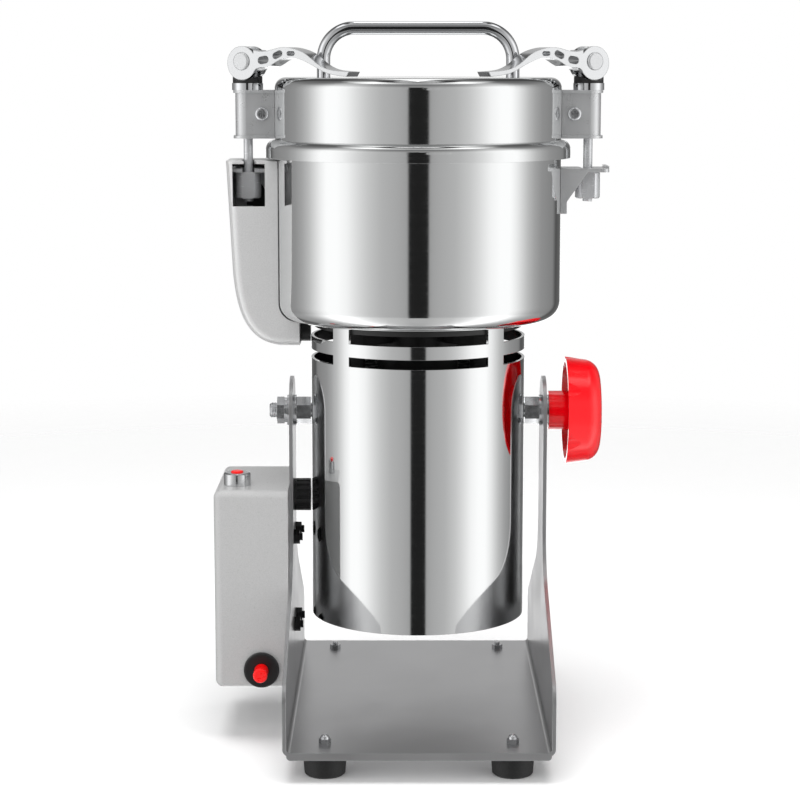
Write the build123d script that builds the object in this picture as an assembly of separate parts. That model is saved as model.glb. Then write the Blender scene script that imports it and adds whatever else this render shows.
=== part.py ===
from build123d import *
import math
import os

# Swing-type batch grinder: head on two side arms, clamped lid, motor below the bowl.
# Millimetres. +Z up, -Y front, +X right. Shapes are drawn on the head axis (x = 0)
# and moved sideways as one when written, so the frame origin is under the middle.

# --- fits -------------------------------------------------------------------
RUN_FIT = 0.05        # radial clearance of a shaft or pin that turns or slides
SEAT_FIT = 0.1        # radial clearance of a screw or spigot that stays put
FREE_GAP = 0.3        # least gap between curved faces of parts that move apart
PAST = 1.0            # how far a cutter runs past the face it opens

# --- stand ------------------------------------------------------------------
SHEET = 2.0           # stand sheet thickness
FOOT_H = 14.5         # rubber foot height
BASE_D = 224.0        # stand floor, front to back
LIP_H = 2.0           # turned-down lips at the front and back, below the floor
PIVOT_Z = 177.0       # tilt axis height
ARM_GAP = 9.7         # from the motor housing to the inner face of each arm
ARM_TOP_R = 19.0      # round top of each arm, and half its width below
ARM_SIDE_Z = 48.5     # top of the arm's upright front edge, before rounding
ARM_SLOPE = 0.5       # rise of the arm's slanting edge
ARM_HOLLOW_R = 35.0   # where the slant runs into the upright part
ARM_CORNER_R = 10.0
FOLD_R = 4.0          # outer radius of the two folds
FOOT_INSET_X = 21.3   # foot axis in from the arm's outer face
FOOT_INSET_Y = 18.0   # foot axis in from the floor's front or back edge
FOOT_R = 11.7         # foot radius under the floor
FOOT_TAPER = 1.0      # foot radius lost at the ground
FOOT_RECESS_H = 6.0   # screw head pocket
NUT_SPARE = 1.5       # thread showing past a nut

# --- fasteners: radius, head, nut -------------------------------------------
M3_R = 1.5
M3_HEAD_R = 2.8
M3_HEAD_H = 2.0
M3_NUT_AF = 5.5
M3_NUT_H = 2.4
M4_R = 2.0
M4_HEAD_R = 3.7
M4_HEAD_H = 2.4
M4_NUT_AF = 7.0
M4_NUT_H = 3.2
M5_R = 2.5
M6_R = 3.0
M6_NUT_AF = 10.0
M6_NUT_H = 5.0
M8_R = 4.0
M8_NUT_AF = 13.0
M8_NUT_H = 4.0
M8_WASHER_R = 8.5
M8_WASHER_T = 1.6
SPRING_WASHER_R = 7.0

# --- motor housing ----------------------------------------------------------
HOUSE_R = 58.5
HOUSE_H = 164.0
HOUSE_DROP = 112.5    # bottom edge of the housing below the tilt axis
HOUSE_WALL = 1.5
TOP_SLOT_H = 9.1      # upper row of vents, open to the bowl
SLOT_BAND = 7.0       # plain band between the rows
LOW_SLOT_H = 5.1
POST_W = 12.0
POST_COUNT = 4
COVER_T = 2.0         # bottom cover
COVER_VENTS = 10
COVER_VENT_R = 26.0   # middle of each vent
COVER_VENT_SIZE = (22.0, 4.0)
COVER_SCREW_INSET = 11.0  # bottom cover screws in from the housing wall
HOUSE_IN = HOUSE_R - HOUSE_WALL
COVER_SCREW_R = HOUSE_IN - COVER_SCREW_INSET
HOUSE_Z0 = PIVOT_Z - HOUSE_DROP
BOWL_Z0 = HOUSE_Z0 + HOUSE_H
FLOOR_TOP = FOOT_H + SHEET
ARM_IN = HOUSE_R + ARM_GAP
ARM_OUT = ARM_IN + SHEET
ARM_TOP_Z = PIVOT_Z + ARM_TOP_R
FOOT_X = ARM_OUT - FOOT_INSET_X
FOOT_Y = BASE_D / 2 - FOOT_INSET_Y

# --- control box, on the left arm -------------------------------------------
BOX_W = 40.0          # from the arm outwards
BOX_D = 78.0
BOX_H = 109.0
BOX_Z0 = 30.0
BOX_WALL = 2.0
BOX_EDGE_R = 4.0
BOX_PORT_D = 30.0     # opening in the arm side of the box
BOX_PORT_H = 36.0
BOX_SCREW_INSET = 28.5    # box screws in from the front and back faces
BOX_SCREW_DROP = 31.0     # upper box screws below the top face
BOX_SCREW_SPAN = 49.4
START_OUT = 28.3      # start button axis out from the arm
START_FRONT = 20.0    # and to the front of the tilt axis
START_FLANGE_R = 7.3
START_FLANGE_H = 7.0
START_BODY_R = 5.9
START_BODY_H = 16.0
START_CAP_R = 3.4
START_PROUD = 0.8
START_TRAVEL = 1.5
RESET_OUT = 14.8      # reset button axis out from the arm
RESET_UP = 10.4       # and up from the bottom of the box
RESET_FLANGE_R = 9.6
RESET_FLANGE_H = 3.0
RESET_BODY_R = 7.8
RESET_BODY_H = 19.0
RESET_CAP_R = 3.9
RESET_PROUD = 11.0
RESET_TRAVEL = 2.0
GLAND_UP = 24.0       # mains inlet gland on the back, up from the bottom
GLAND_R = 7.5
GLAND_L = 11.0
GLAND_BORE_R = 3.2
ARM_GLAND_R = 8.9     # fluted gland on the inner face of the left arm
ARM_GLAND_DROP = 9.2  # its axis below the top of the box
ARM_GLAND_NECK_R = 5.4
GLAND_FLUTES = 16
BLOCK_SIZE = (18.0, 20.0, 12.0)   # terminal block in the box
BLOCK_WAYS = 3
BOX_MID_X = -(ARM_OUT + BOX_W / 2)
BOX_TOP = BOX_Z0 + BOX_H
START_FLOOR = BOX_TOP - START_BODY_H + BOX_WALL
ARM_GLAND_Z = BOX_TOP - ARM_GLAND_DROP
ARM_GLAND_L = ARM_GAP - 0.7

# --- pivot ------------------------------------------------------------------
STUD_LEFT = ARM_OUT + 11.4    # left stud end from the head axis
STUD_RIGHT = ARM_OUT + 21.8
STUD_FLANGE_R = 9.0   # head of each stud, inside the housing
STUD_FLANGE_T = 2.5
STUD_SETBACK = 1.2    # flange clear of the round wall
KNOB_R = 29.6
KNOB_DEPTH = 18.7
KNOB_STAND_OFF = 10.9  # open rim of the knob from the arm
KNOB_EDGE_R = 9.0
KNOB_WALL = 3.0
KNOB_TAPER = 2.6      # radius lost from the open rim to the closed face
KNOB_LOBES = 6
KNOB_LOBE_CUT = 1.0
HUB_R = 10.8
INSERT_R = 6.0
INSERT_L = 16.0
KNOB_X0 = ARM_OUT + KNOB_STAND_OFF
HUB_X0 = ARM_OUT + M8_WASHER_T

# --- motor ------------------------------------------------------------------
SHAFT_R = 6.0
BEARING_R = SHAFT_R + 10.0
BEARING_H = 10.0
BEARING_GROOVE = 3.0  # width of the inner and outer race faces
HUB_WALL = 4.0        # around the lower bearing
TOP_HUB_WALL = 6.0
AIR_GAP = 0.7
YOKE_DEPTH = 24.2     # stack from its outer face in to the armature
ARMATURE_SLOTS = 12
SLOT_W = 3.0
SLOT_DEPTH = 6.0
CORE_UP = 45.5        # lamination stack above the bottom edge
CORE_H = 55.0
CORE_SEAT = 3.0       # width of the ring that carries the stack
CORE_R = HOUSE_IN - 7.0
ARMATURE_R = CORE_R - YOKE_DEPTH
CORE_BORE_R = ARMATURE_R + AIR_GAP
POLE_INSET = 2.0      # coil corners inside the ring that carries the stack
COIL_W = 9.0
COIL_T = 9.0
COIL_END = 11.0       # how far a coil stands past the stack
COIL_GAP = 0.5
WINDING_INSET = 3.8
WINDING_LOW_H = 5.5
WINDING_TOP_H = 9.0
COMM_R = SHAFT_R + 9.0
COMM_H = 12.5
COMM_BARS = 24
COMM_CUT = 0.6
BRUSH_SIZE = 8.0
BRUSH_SPRING_L = 4.2  # room behind a brush
HOLDER_WALL = 1.5
HOLDER_INSET = 6.0    # holder inside the ring that carries the stack
PAN_T = 4.0
PAN_VENT_W = 9.0
PAN_VENT_GAP = 1.15   # from each vent to the hub and to the screw heads
FAN_INSET = 5.0       # fan inside the legs of the upper bracket
FAN_T = 1.6
FAN_H = 11.0
FAN_BLADES = 14
FAN_BLADE_T = 1.6
FAN_HUB_R = SHAFT_R + 6.0
FAN_GAP = 13.0        # fan above the stack
TOP_PLATE_T = 4.0
LEG_W = 10.0
RIB_T = 4.0
SEAL_R = SHAFT_R + 6.0
SEAL_H = 7.0
SHAFT_ABOVE = 41.5    # shaft end above the bowl's underside
CORE_Z0 = HOUSE_Z0 + CORE_UP
CORE_Z1 = CORE_Z0 + CORE_H
PAN_Z = HOUSE_Z0 + 19.5       # underside of the lower bracket plate
LOW_BEARING_Z = PAN_Z - BEARING_H
TOP_BEARING_Z = BOWL_Z0 - 25.5
TOP_HUB_Z0 = TOP_BEARING_Z - 7.0
SEAL_Z = TOP_BEARING_Z + BEARING_H + 1.0
COMM_Z0 = CORE_Z0 - WINDING_LOW_H - COMM_H - 1.0
BRUSH_Z = COMM_Z0 + COMM_H / 2
BRACKET_R = HOUSE_IN - FREE_GAP
CARRY_R = CORE_R - CORE_SEAT
HOLDER_END = CARRY_R - HOLDER_INSET
FAN_R = CARRY_R - FAN_INSET
SHAFT_Z1 = BOWL_Z0 + SHAFT_ABOVE

# --- bowl -------------------------------------------------------------------
BOWL_R = 77.5
BOWL_H = 97.0         # underside to joint face
BOWL_WALL = 1.5
BOWL_CORNER_R = 10.0
RIM_OUT = 5.0         # rim past the bowl wall
RIM_SKIRT = 9.5
RIM_WALL = 1.5
RING_WALL = 2.5       # fluted liner in the bowl
RING_H = 62.0
RING_TEETH = 36
TOOTH_R = 1.2
BOWL_SCREW_R = 38.0
BLADE_REACH_GAP = 9.0     # blade tip to bowl wall
BLADE_W = 24.0
BLADE_T = 3.0
BLADE_UP = 11.5       # lower blade above the bowl's underside
BLADE_PITCH = 16.0
FIN_L = 8.0
FIN_T = 3.0
COLLAR_R = SHAFT_R + 3.5
BLADE_NUT_H = 7.0
BLADE_NUT_AF = 2 * COLLAR_R
BOWL_IN = BOWL_R - BOWL_WALL
BOWL_FLOOR = BOWL_Z0 + BOWL_WALL
RIM_TOP = BOWL_Z0 + BOWL_H    # joint face between bowl rim and lid
RIM_R = BOWL_R + RIM_OUT
RIM_Z0 = RIM_TOP - RIM_SKIRT
SHAFT_HOLE_R = SHAFT_R + 1.2
BLADE_R = BOWL_IN - BLADE_REACH_GAP
LOW_BLADE_Z = BOWL_Z0 + BLADE_UP
TOP_BLADE_Z = LOW_BLADE_Z + BLADE_PITCH

# --- latch brackets and cover -----------------------------------------------
ROD_R = M5_R
ROD_X = BOWL_R + 14.5     # latch rod axis from the head axis
BRACKET_DROP = 5.8        # bracket plate below the rim's skirt
BRACKET_T = 2.0
BRACKET_HALF = 13.0
BRACKET_CORNER_R = 3.0
BRACKET_LIP = 1.2
BRACKET_PAST = 10.8       # right plate past the rod axis
COVERED_PAST = 8.3        # left plate past the rod axis, inside its cover
LEG_T = 2.5
LEG_H = 24.2
GUSSET_W = 11.0
GUSSET_H = 17.2
SLOT_SPARE = 0.8
NUT_R = 6.75              # barrel nut
NUT_H = 14.2
NUT_FLAT = 1.0
COVER_PAST = 11.0         # outer face of the interlock cover past the rod axis
COVER_TAPER = 3.2
COVER_GAP = 1.5           # cover below the rim's skirt
COVER_BEND = 25.1         # where its big curve starts, above the bowl's underside
COVER_FOOT = 13.5         # its foot below the bowl's underside
COVER_HALF = 20.0
COVER_WALL = 1.5
COVER_EDGE_R = 5.0
WINDOW_OUT = 7.3          # window past the rod axis, outwards and inwards
WINDOW_IN = 10.0
WINDOW_DROP = 19.8
SWITCH_SIZE = (13.0, 5.4, 18.0)
SWITCH_TAB = 5.0
BUSH_R = 6.0
BUSH_BORE_R = 3.0
BUSH_DROP = 7.0
BRACKET_TOP = RIM_Z0 - BRACKET_DROP
BRACKET_LOW = BRACKET_TOP - BRACKET_T
BRACKET_REACH = ROD_X + BRACKET_PAST
LEG_FACE = BOWL_R + LEG_T
LEG_Z0 = BRACKET_TOP - LEG_H
NUT_TOP = BRACKET_LOW - FREE_GAP
COVER_TOP = RIM_Z0 - COVER_GAP
COVER_END_X = HOUSE_R + 5.5

# --- lid --------------------------------------------------------------------
LID_H = 33.2
LID_WALL = 1.5
LID_SHOULDER_R = 6.0
PAN_SIDE_GAP = 1.7        # inner pan to bowl wall
PAN_WALL = 1.5
PAN_DROP = 7.0            # how far the inner pan enters the bowl
PAN_RISE = 5.5
BAND_UP = 1.2
BAND_H = 4.5
BAR_R = 3.6
HANDLE_X = 51.0
HANDLE_H = 29.8
HANDLE_BEND_R = 16.5
LUG_UP = 6.5
LUG_H = 15.0
CLIP_UP = 2.1             # clip strap above the joint face
CLIP_H = 22.8
CLIP_HALF = 8.0
CLIP_PAST = 6.6           # clip past the rod axis
CLIP_T = 1.5
CLIP_CORNER_R = 6.0
PLATE_LAP = 1.1           # clip plates past the strap
CLIP_BOLT_IN = 8.0        # clip bolt inside the rod axis
CLIP_BOLT_UP = 11.7
LID_TOP = RIM_TOP + LID_H
PAN_R = BOWL_IN - PAN_SIDE_GAP
CLIP_Z0 = RIM_TOP + CLIP_UP
CLIP_Z1 = CLIP_Z0 + CLIP_H
CLIP_OUT = ROD_X + CLIP_PAST
PLATE_TOP = CLIP_Z1 + CLIP_T
CLIP_BOLT_X = ROD_X - CLIP_BOLT_IN
CLIP_BOLT_Z = CLIP_Z0 + CLIP_BOLT_UP

# --- latches ----------------------------------------------------------------
CAM_R = 9.0
CAM_THROW = 1.0           # cam centre below the pin when closed
CAM_GAP = 0.4
SEAT_R = 8.0
SEAT_WALL = 1.6           # width of the ring around the seat's neck
SEAT_FLOOR = 1.2          # seat under the lowest point of its hollow
SEAT_H = 6.0
RING_LAP = 0.4
RING_STEP = 3.7           # ring height
SADDLE_R = CAM_R + 5.0    # hollow in the seat
LEVER_TURN = 28.0         # levers point this far forward of the left-right line
LEVER_W = 12.0
EYE_R = 5.5
EYE_W = 5.6
PIN_R = 2.5
PIN_HEAD_R = 4.9
PIN_HEAD_H = 1.4
RING_TOP = PLATE_TOP + RING_STEP
SADDLE_Z = RING_TOP + SEAT_FLOOR
PIN_Z = SADDLE_Z + CAM_GAP + CAM_R + CAM_THROW
# lever profile from the pin: (along, up) of the top edge, the low edge back, and the three
# holes as (along, up, length, height, tilt)
LEVER_TOP_EDGE = [(7.4, 6.0), (12.3, 5.2), (17.5, 5.8), (24.6, 7.3), (33.0, 6.4), (39.5, 4.0),
                  (47.0, -1.3), (53.0, -4.1), (60.0, -5.1), (66.0, -5.5)]
LEVER_LOW_EDGE = [(64.5, -8.0), (57.2, -7.2), (51.4, -5.8), (45.6, -3.0), (39.7, -0.2),
                  (33.9, 1.6), (28.1, 1.6), (23.4, 0.6), (19.0, -1.8), (15.0, -3.2),
                  (10.6, -3.4), (7.4, -6.0)]
LEVER_HOLES = [(13.6, 0.7, 6.6, 4.0, 10), (22.5, 3.5, 6.2, 3.4, 25), (30.7, 4.1, 4.8, 2.4, 0)]

BASE_ALIGN = (Align.CENTER, Align.CENTER, Align.MIN)
RIGHT_END = max(BRACKET_REACH, KNOB_X0 + KNOB_DEPTH)
CENTRE_X = (RIGHT_END - ARM_OUT - BOX_W) / 2


# --- shared shapes ----------------------------------------------------------
def rod(radius, z0, z1):
    """An upright cylinder on the z axis."""
    return Pos(0, 0, z0) * Cylinder(radius, z1 - z0, align=BASE_ALIGN)


def tube(outer, inner, z0, z1):
    """An upright ring on the z axis."""
    return rod(outer, z0, z1) - rod(inner, z0 - PAST, z1 + PAST)


def block(x0, x1, y0, y1, z0, z1):
    """A box between two corners."""
    centre = Pos((x0 + x1) / 2, (y0 + y1) / 2, (z0 + z1) / 2)
    return centre * Box(abs(x1 - x0), abs(y1 - y0), abs(z1 - z0))


def hexagon(flats, z0, z1):
    """An upright hexagonal prism on the z axis, by its width across flats."""
    return Pos(0, 0, z0) * extrude(RegularPolygon(flats / 2, 6, major_radius=False), z1 - z0)


def spun(points):
    """A solid of revolution about z from (radius, height) points."""
    return revolve(Plane.XZ * make_face(Polyline(*points, close=True)), Axis.Z)


def along_x(shape, x, y=0.0, z=0.0):
    """Lay an upright shape along +X, its z = 0 plane at x."""
    return Pos(x, y, z) * Rot(0, 90, 0) * shape


def along_y(shape, x, y, z, back=True):
    """Lay an upright shape along +Y (or -Y), its z = 0 plane at y."""
    return Pos(x, y, z) * Rot(-90 if back else 90, 0, 0) * shape


def pan_screw(radius, head_r, head_h, length):
    """A pan-head cross screw: head above z = 0, shank below."""
    head = rod(head_r, 0, head_h)
    head = fillet(head.edges().group_by(Axis.Z)[-1], head_h * 0.6)
    cross = block(-head_r * 0.5, head_r * 0.5, -0.5, 0.5, head_h * 0.5, head_h + PAST)
    return head + rod(radius, -length, 0) - cross - Rot(0, 0, 90) * cross


def mirrored(shape):
    """The same shape on the other side of the head axis."""
    return mirror(shape, Plane.YZ)


# --- stand ------------------------------------------------------------------
def arm_outline():
    """Side view of the arms: a round top, hollow shoulders, a foot as deep as the floor."""
    half = BASE_D / 2
    neck_z = ARM_SIDE_Z + (half - ARM_TOP_R) * ARM_SLOPE
    side = [(half, FOOT_H), (half, ARM_SIDE_Z), (ARM_TOP_R, neck_z), (ARM_TOP_R, PIVOT_Z)]
    outline = make_face(Polyline(*side, *[(-y, z) for y, z in reversed(side)], close=True))
    outline = fillet(outline.vertices().group_by(Axis.Y)[2], ARM_HOLLOW_R)
    outline = fillet(outline.vertices().group_by(Axis.Y)[1], ARM_CORNER_R)
    return outline + Pos(0, PIVOT_Z) * Circle(ARM_TOP_R)


def foot_places():
    return [(x, y) for x in (-FOOT_X, FOOT_X) for y in (-FOOT_Y, FOOT_Y)]


def box_screw_places():
    """(y, z) of the four screws through the arm."""
    y = BOX_D / 2 - BOX_SCREW_INSET
    z = BOX_TOP - BOX_SCREW_DROP
    return [(-y, z), (y, z), (-y, z - BOX_SCREW_SPAN), (y, z - BOX_SCREW_SPAN)]


def stand_frame():
    outer = block(-ARM_OUT, ARM_OUT, -BASE_D / 2, BASE_D / 2, FOOT_H, ARM_TOP_Z)
    outer = fillet(outer.edges().filter_by(Axis.Y).group_by(Axis.Z)[0], FOLD_R)
    inner = block(-ARM_IN, ARM_IN, -BASE_D / 2 - PAST, BASE_D / 2 + PAST, FLOOR_TOP,
                  ARM_TOP_Z + PAST)
    inner = fillet(inner.edges().filter_by(Axis.Y).group_by(Axis.Z)[0], FOLD_R - SHEET)
    side = Plane.YZ * arm_outline()
    frame = (outer - inner) & extrude(side, ARM_OUT + PAST, both=True)
    frame -= along_x(rod(M8_R + SEAT_FIT, -ARM_OUT * 2, ARM_OUT * 2), 0, 0, PIVOT_Z)
    for x, y in foot_places():
        frame -= Pos(x, y, 0) * rod(M3_R + SEAT_FIT, FOOT_H - PAST, FLOOR_TOP + PAST)
    lip_end = ARM_OUT - FOLD_R / 2
    for edge in (-BASE_D / 2, BASE_D / 2 - SHEET):
        lip = block(-lip_end, lip_end, edge, edge + SHEET, FOOT_H - LIP_H, FOOT_H + SHEET / 2)
        frame += fillet(lip.edges().filter_by(Axis.Y).group_by(Axis.Z)[0], LIP_H)
    wall = SHEET + 2 * PAST
    for y, z in box_screw_places():
        frame -= along_x(rod(M4_R + SEAT_FIT, 0, wall), -ARM_OUT - PAST, y, z)
    frame -= along_x(rod(ARM_GLAND_NECK_R + SEAT_FIT, 0, wall), -ARM_OUT - PAST, 0, ARM_GLAND_Z)
    return frame


def rubber_feet():
    bore = M3_R + SEAT_FIT
    pocket = M3_HEAD_R + 2.0
    ground_r = FOOT_R - FOOT_TAPER
    foot = spun([(pocket, 0), (ground_r - 1, 0), (ground_r, 1), (FOOT_R, FOOT_H), (bore, FOOT_H),
                 (bore, FOOT_RECESS_H), (pocket, FOOT_RECESS_H)])
    return Compound([Pos(x, y, 0) * foot for x, y in foot_places()])


def foot_screws():
    length = FLOOR_TOP - FOOT_RECESS_H + M3_NUT_H + NUT_SPARE
    screw = Pos(0, 0, FOOT_RECESS_H) * Rot(180, 0, 0)
    screw *= pan_screw(M3_R, M3_HEAD_R, M3_HEAD_H, length)
    return Compound([Pos(x, y, 0) * screw for x, y in foot_places()])


def foot_nuts():
    """Cap nuts at the front, plain nuts at the back."""
    top = FLOOR_TOP + M3_NUT_H
    nut = hexagon(M3_NUT_AF, FLOOR_TOP, top)
    dome_r = M3_NUT_AF / 2 - SEAT_FIT
    seat = top - dome_r / 8
    dome = (Pos(0, 0, seat) * Sphere(dome_r)) & rod(dome_r * 2, seat, top + dome_r * 2)
    capped = nut + dome - rod(M3_R + RUN_FIT, 0, top + NUT_SPARE + SEAT_FIT)
    nut -= rod(M3_R + RUN_FIT, 0, top + PAST)
    parts = [Pos(x, y, 0) * (capped if y < 0 else nut) for x, y in foot_places()]
    return Compound(parts)


# --- control box ------------------------------------------------------------
def control_box_shell():
    outer = block(-ARM_OUT - BOX_W, -ARM_OUT, -BOX_D / 2, BOX_D / 2, BOX_Z0, BOX_TOP)
    inner = block(-ARM_OUT - BOX_W + BOX_WALL, -ARM_OUT - BOX_WALL, -BOX_D / 2 + BOX_WALL,
                  BOX_D / 2 - BOX_WALL, BOX_Z0 + BOX_WALL, BOX_TOP - BOX_WALL)
    faces = outer.faces().sort_by(Axis.X)
    outer = fillet(outer.edges() - faces[-1].edges(), BOX_EDGE_R)
    inner_faces = inner.faces().sort_by(Axis.X)
    inner = fillet(inner.edges() - inner_faces[-1].edges(), BOX_EDGE_R - BOX_WALL)
    middle = BOX_TOP - BOX_SCREW_DROP - BOX_SCREW_SPAN / 2
    port = block(-ARM_OUT - BOX_WALL - PAST, -ARM_OUT + PAST, -BOX_PORT_D / 2,
                 BOX_PORT_D / 2, middle - BOX_PORT_H / 2, middle + BOX_PORT_H / 2)
    shell = outer - inner - port
    for y, z in box_screw_places():
        hole = rod(M4_R + SEAT_FIT, 0, BOX_WALL + 2 * PAST)
        shell -= along_x(hole, -ARM_OUT - BOX_WALL - PAST, y, z)
    neck_hole = rod(ARM_GLAND_NECK_R + SEAT_FIT, 0, BOX_WALL + 2 * PAST)
    shell -= along_x(neck_hole, -ARM_OUT - BOX_WALL - PAST, 0, ARM_GLAND_Z)
    start_hole = rod(START_BODY_R + SEAT_FIT, BOX_TOP - BOX_WALL - PAST, BOX_TOP + PAST)
    shell -= Pos(-ARM_OUT - START_OUT, -START_FRONT, 0) * start_hole
    reset_hole = rod(RESET_BODY_R + SEAT_FIT, 0, BOX_WALL * 2)
    shell -= along_y(reset_hole, -ARM_OUT - RESET_OUT, -BOX_D / 2 - PAST, BOX_Z0 + RESET_UP)
    gland_hole = rod(GLAND_R - BOX_WALL + SEAT_FIT, 0, BOX_WALL * 2)
    shell -= along_y(gland_hole, BOX_MID_X, BOX_D / 2 - BOX_WALL - PAST, BOX_Z0 + GLAND_UP)
    return shell


def control_box_screws():
    """Screws from inside the box with nuts on the inner face of the arm."""
    length = BOX_WALL + SHEET + M4_NUT_H + NUT_SPARE
    screw = pan_screw(M4_R, M4_HEAD_R, M4_HEAD_H, length)
    x = -ARM_OUT - BOX_WALL
    nut_z = -BOX_WALL - SHEET
    nut = hexagon(M4_NUT_AF, nut_z - M4_NUT_H, nut_z)
    one = screw + nut
    return Compound([Pos(x, y, z) * Rot(0, -90, 0) * one for y, z in box_screw_places()])


def start_button_bezel():
    flange = rod(START_FLANGE_R, BOX_TOP, BOX_TOP + START_FLANGE_H)
    flange = fillet(flange.edges().group_by(Axis.Z)[-1], 1.2)
    body = flange + rod(START_BODY_R, BOX_TOP - START_BODY_H, BOX_TOP)
    body -= rod(START_CAP_R + RUN_FIT, START_FLOOR, BOX_TOP + START_FLANGE_H + PAST)
    return Pos(-ARM_OUT - START_OUT, -START_FRONT, 0) * body


def start_button_cap():
    top = BOX_TOP + START_FLANGE_H + START_PROUD
    cap = rod(START_CAP_R, START_FLOOR + START_TRAVEL + FREE_GAP, top)
    cap = fillet(cap.edges().group_by(Axis.Z)[-1], START_PROUD)
    return Pos(-ARM_OUT - START_OUT, -START_FRONT, 0) * cap


def on_box_front(shape):
    """Lay a part drawn with +z outwards on the front wall at the reset button's place."""
    return along_y(shape, -ARM_OUT - RESET_OUT, -BOX_D / 2, BOX_Z0 + RESET_UP, back=False)


def reset_breaker_body():
    """Flange proud of the front wall, body inside the box."""
    body = rod(RESET_FLANGE_R, 0, RESET_FLANGE_H)
    body = fillet(body.edges().group_by(Axis.Z)[-1], 1.0)
    body += rod(RESET_BODY_R, -RESET_BODY_H, 0)
    body -= rod(RESET_CAP_R + RUN_FIT, -RESET_BODY_H + BOX_WALL, RESET_FLANGE_H + PAST)
    return on_box_front(body)


def reset_button():
    low = -RESET_BODY_H + BOX_WALL + RESET_TRAVEL + FREE_GAP
    button = rod(RESET_CAP_R, low, RESET_FLANGE_H + RESET_PROUD)
    button = fillet(button.edges().group_by(Axis.Z)[-1], 1.2)
    return on_box_front(button)


def fluted_gland(radius, bore, length):
    """A gland nut with flutes around it, standing on z = 0."""
    body = rod(radius, 0, length) - rod(bore, -PAST, length + PAST)
    flute = rod(radius * math.pi / GLAND_FLUTES / 2, length * 0.15, length + PAST)
    turns = [Rot(0, 0, i * 360 / GLAND_FLUTES) * Pos(radius, 0, 0) for i in range(GLAND_FLUTES)]
    return body - [turn * flute for turn in turns]


def inlet_gland():
    body = fluted_gland(GLAND_R, GLAND_BORE_R, GLAND_L)
    thread = tube(GLAND_R - BOX_WALL, GLAND_BORE_R, -BOX_WALL * 3, 0)
    nut = tube(GLAND_R, GLAND_R - BOX_WALL, -BOX_WALL * 2.5, -BOX_WALL)
    return along_y(body + thread + nut, BOX_MID_X, BOX_D / 2, BOX_Z0 + GLAND_UP)


def arm_grommet():
    body = fluted_gland(ARM_GLAND_R, GLAND_BORE_R, ARM_GLAND_L)
    neck = tube(ARM_GLAND_NECK_R, GLAND_BORE_R, -SHEET - BOX_WALL, 0)
    return along_x(body + neck, -ARM_IN, 0, ARM_GLAND_Z)


def terminal_block():
    """Connector strip on the floor of the box, two screw wells to each way."""
    width, depth, height = BLOCK_SIZE
    base = BOX_Z0 + BOX_WALL
    body = block(BOX_MID_X - width / 2, BOX_MID_X + width / 2, 0, depth, base, base + height)
    well = rod(M4_R, base + height / 2, base + height + PAST)
    for i in range(BLOCK_WAYS):
        y = depth * (i + 0.5) / BLOCK_WAYS
        body -= Pos(BOX_MID_X - width / 4, y, 0) * well
        body -= Pos(BOX_MID_X + width / 4, y, 0) * well
    return body


# --- pivot ------------------------------------------------------------------
def pivot_studs():
    flange = rod(STUD_FLANGE_R, 0, STUD_FLANGE_T)
    inner = HOUSE_IN - STUD_FLANGE_T - STUD_SETBACK
    left = flange + rod(M8_R, 0, STUD_LEFT - inner)
    left = chamfer(left.edges().group_by(Axis.Z)[-1], 0.8)
    right = flange + rod(M8_R, 0, STUD_RIGHT - inner)
    right = chamfer(right.edges().group_by(Axis.Z)[-1], 0.8)
    left = Pos(-inner, 0, PIVOT_Z) * Rot(0, -90, 0) * left
    return Compound([left, along_x(right, inner, 0, PIVOT_Z)])


def pivot_hardware():
    """Spacer nuts inside both arms, the outer nut and washers left, the washer right."""
    bore = rod(M8_R + RUN_FIT, -ARM_OUT, ARM_OUT * 2)
    spacer = hexagon(M8_NUT_AF, FREE_GAP, ARM_GAP - M8_WASHER_T)
    spacer += rod(M8_WASHER_R, ARM_GAP - M8_WASHER_T, ARM_GAP)
    spacer -= bore
    washer = rod(M8_WASHER_R, 0, M8_WASHER_T) - bore
    spring = rod(SPRING_WASHER_R, M8_WASHER_T, 2 * M8_WASHER_T)
    nut = hexagon(M8_NUT_AF, 2 * M8_WASHER_T, 2 * M8_WASHER_T + M8_NUT_H)
    outer = washer + spring + nut - bore
    left = [Pos(-HOUSE_R, 0, PIVOT_Z) * Rot(0, -90, 0) * spacer,
            Pos(-ARM_OUT, 0, PIVOT_Z) * Rot(0, -90, 0) * outer]
    right = [along_x(spacer, HOUSE_R, 0, PIVOT_Z), along_x(washer, ARM_OUT, 0, PIVOT_Z)]
    return Compound(left + right)


def clamp_knob():
    """A lobed cup with a hub, open towards the arm; drawn from its open rim up."""
    cup = Cone(KNOB_R, KNOB_R - KNOB_TAPER, KNOB_DEPTH, align=BASE_ALIGN)
    cup = fillet(cup.edges().group_by(Axis.Z)[-1], KNOB_EDGE_R)
    lobe_gap = Pos(KNOB_R * 1.5 - KNOB_LOBE_CUT, 0, 0) * rod(KNOB_R / 2, -PAST, KNOB_DEPTH + PAST)
    cup -= [Rot(0, 0, i * 360 / KNOB_LOBES) * lobe_gap for i in range(KNOB_LOBES)]
    hollow_r = KNOB_R - KNOB_WALL
    hollow = Cone(hollow_r, hollow_r - KNOB_TAPER, KNOB_DEPTH - KNOB_WALL, align=BASE_ALIGN)
    hollow = fillet(hollow.edges().group_by(Axis.Z)[-1], KNOB_EDGE_R - KNOB_WALL)
    hub_z = HUB_X0 - KNOB_X0
    knob = cup - hollow + rod(HUB_R, hub_z, KNOB_DEPTH - KNOB_WALL / 2)
    knob -= rod(INSERT_R + SEAT_FIT, hub_z - PAST, hub_z + INSERT_L)
    knob -= rod(M8_R + PAST, hub_z, STUD_RIGHT - KNOB_X0 + PAST)
    return along_x(knob, KNOB_X0, 0, PIVOT_Z)


def knob_insert():
    insert = tube(INSERT_R, M8_R + RUN_FIT, 0, INSERT_L)
    return along_x(insert, HUB_X0, 0, PIVOT_Z)


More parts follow.
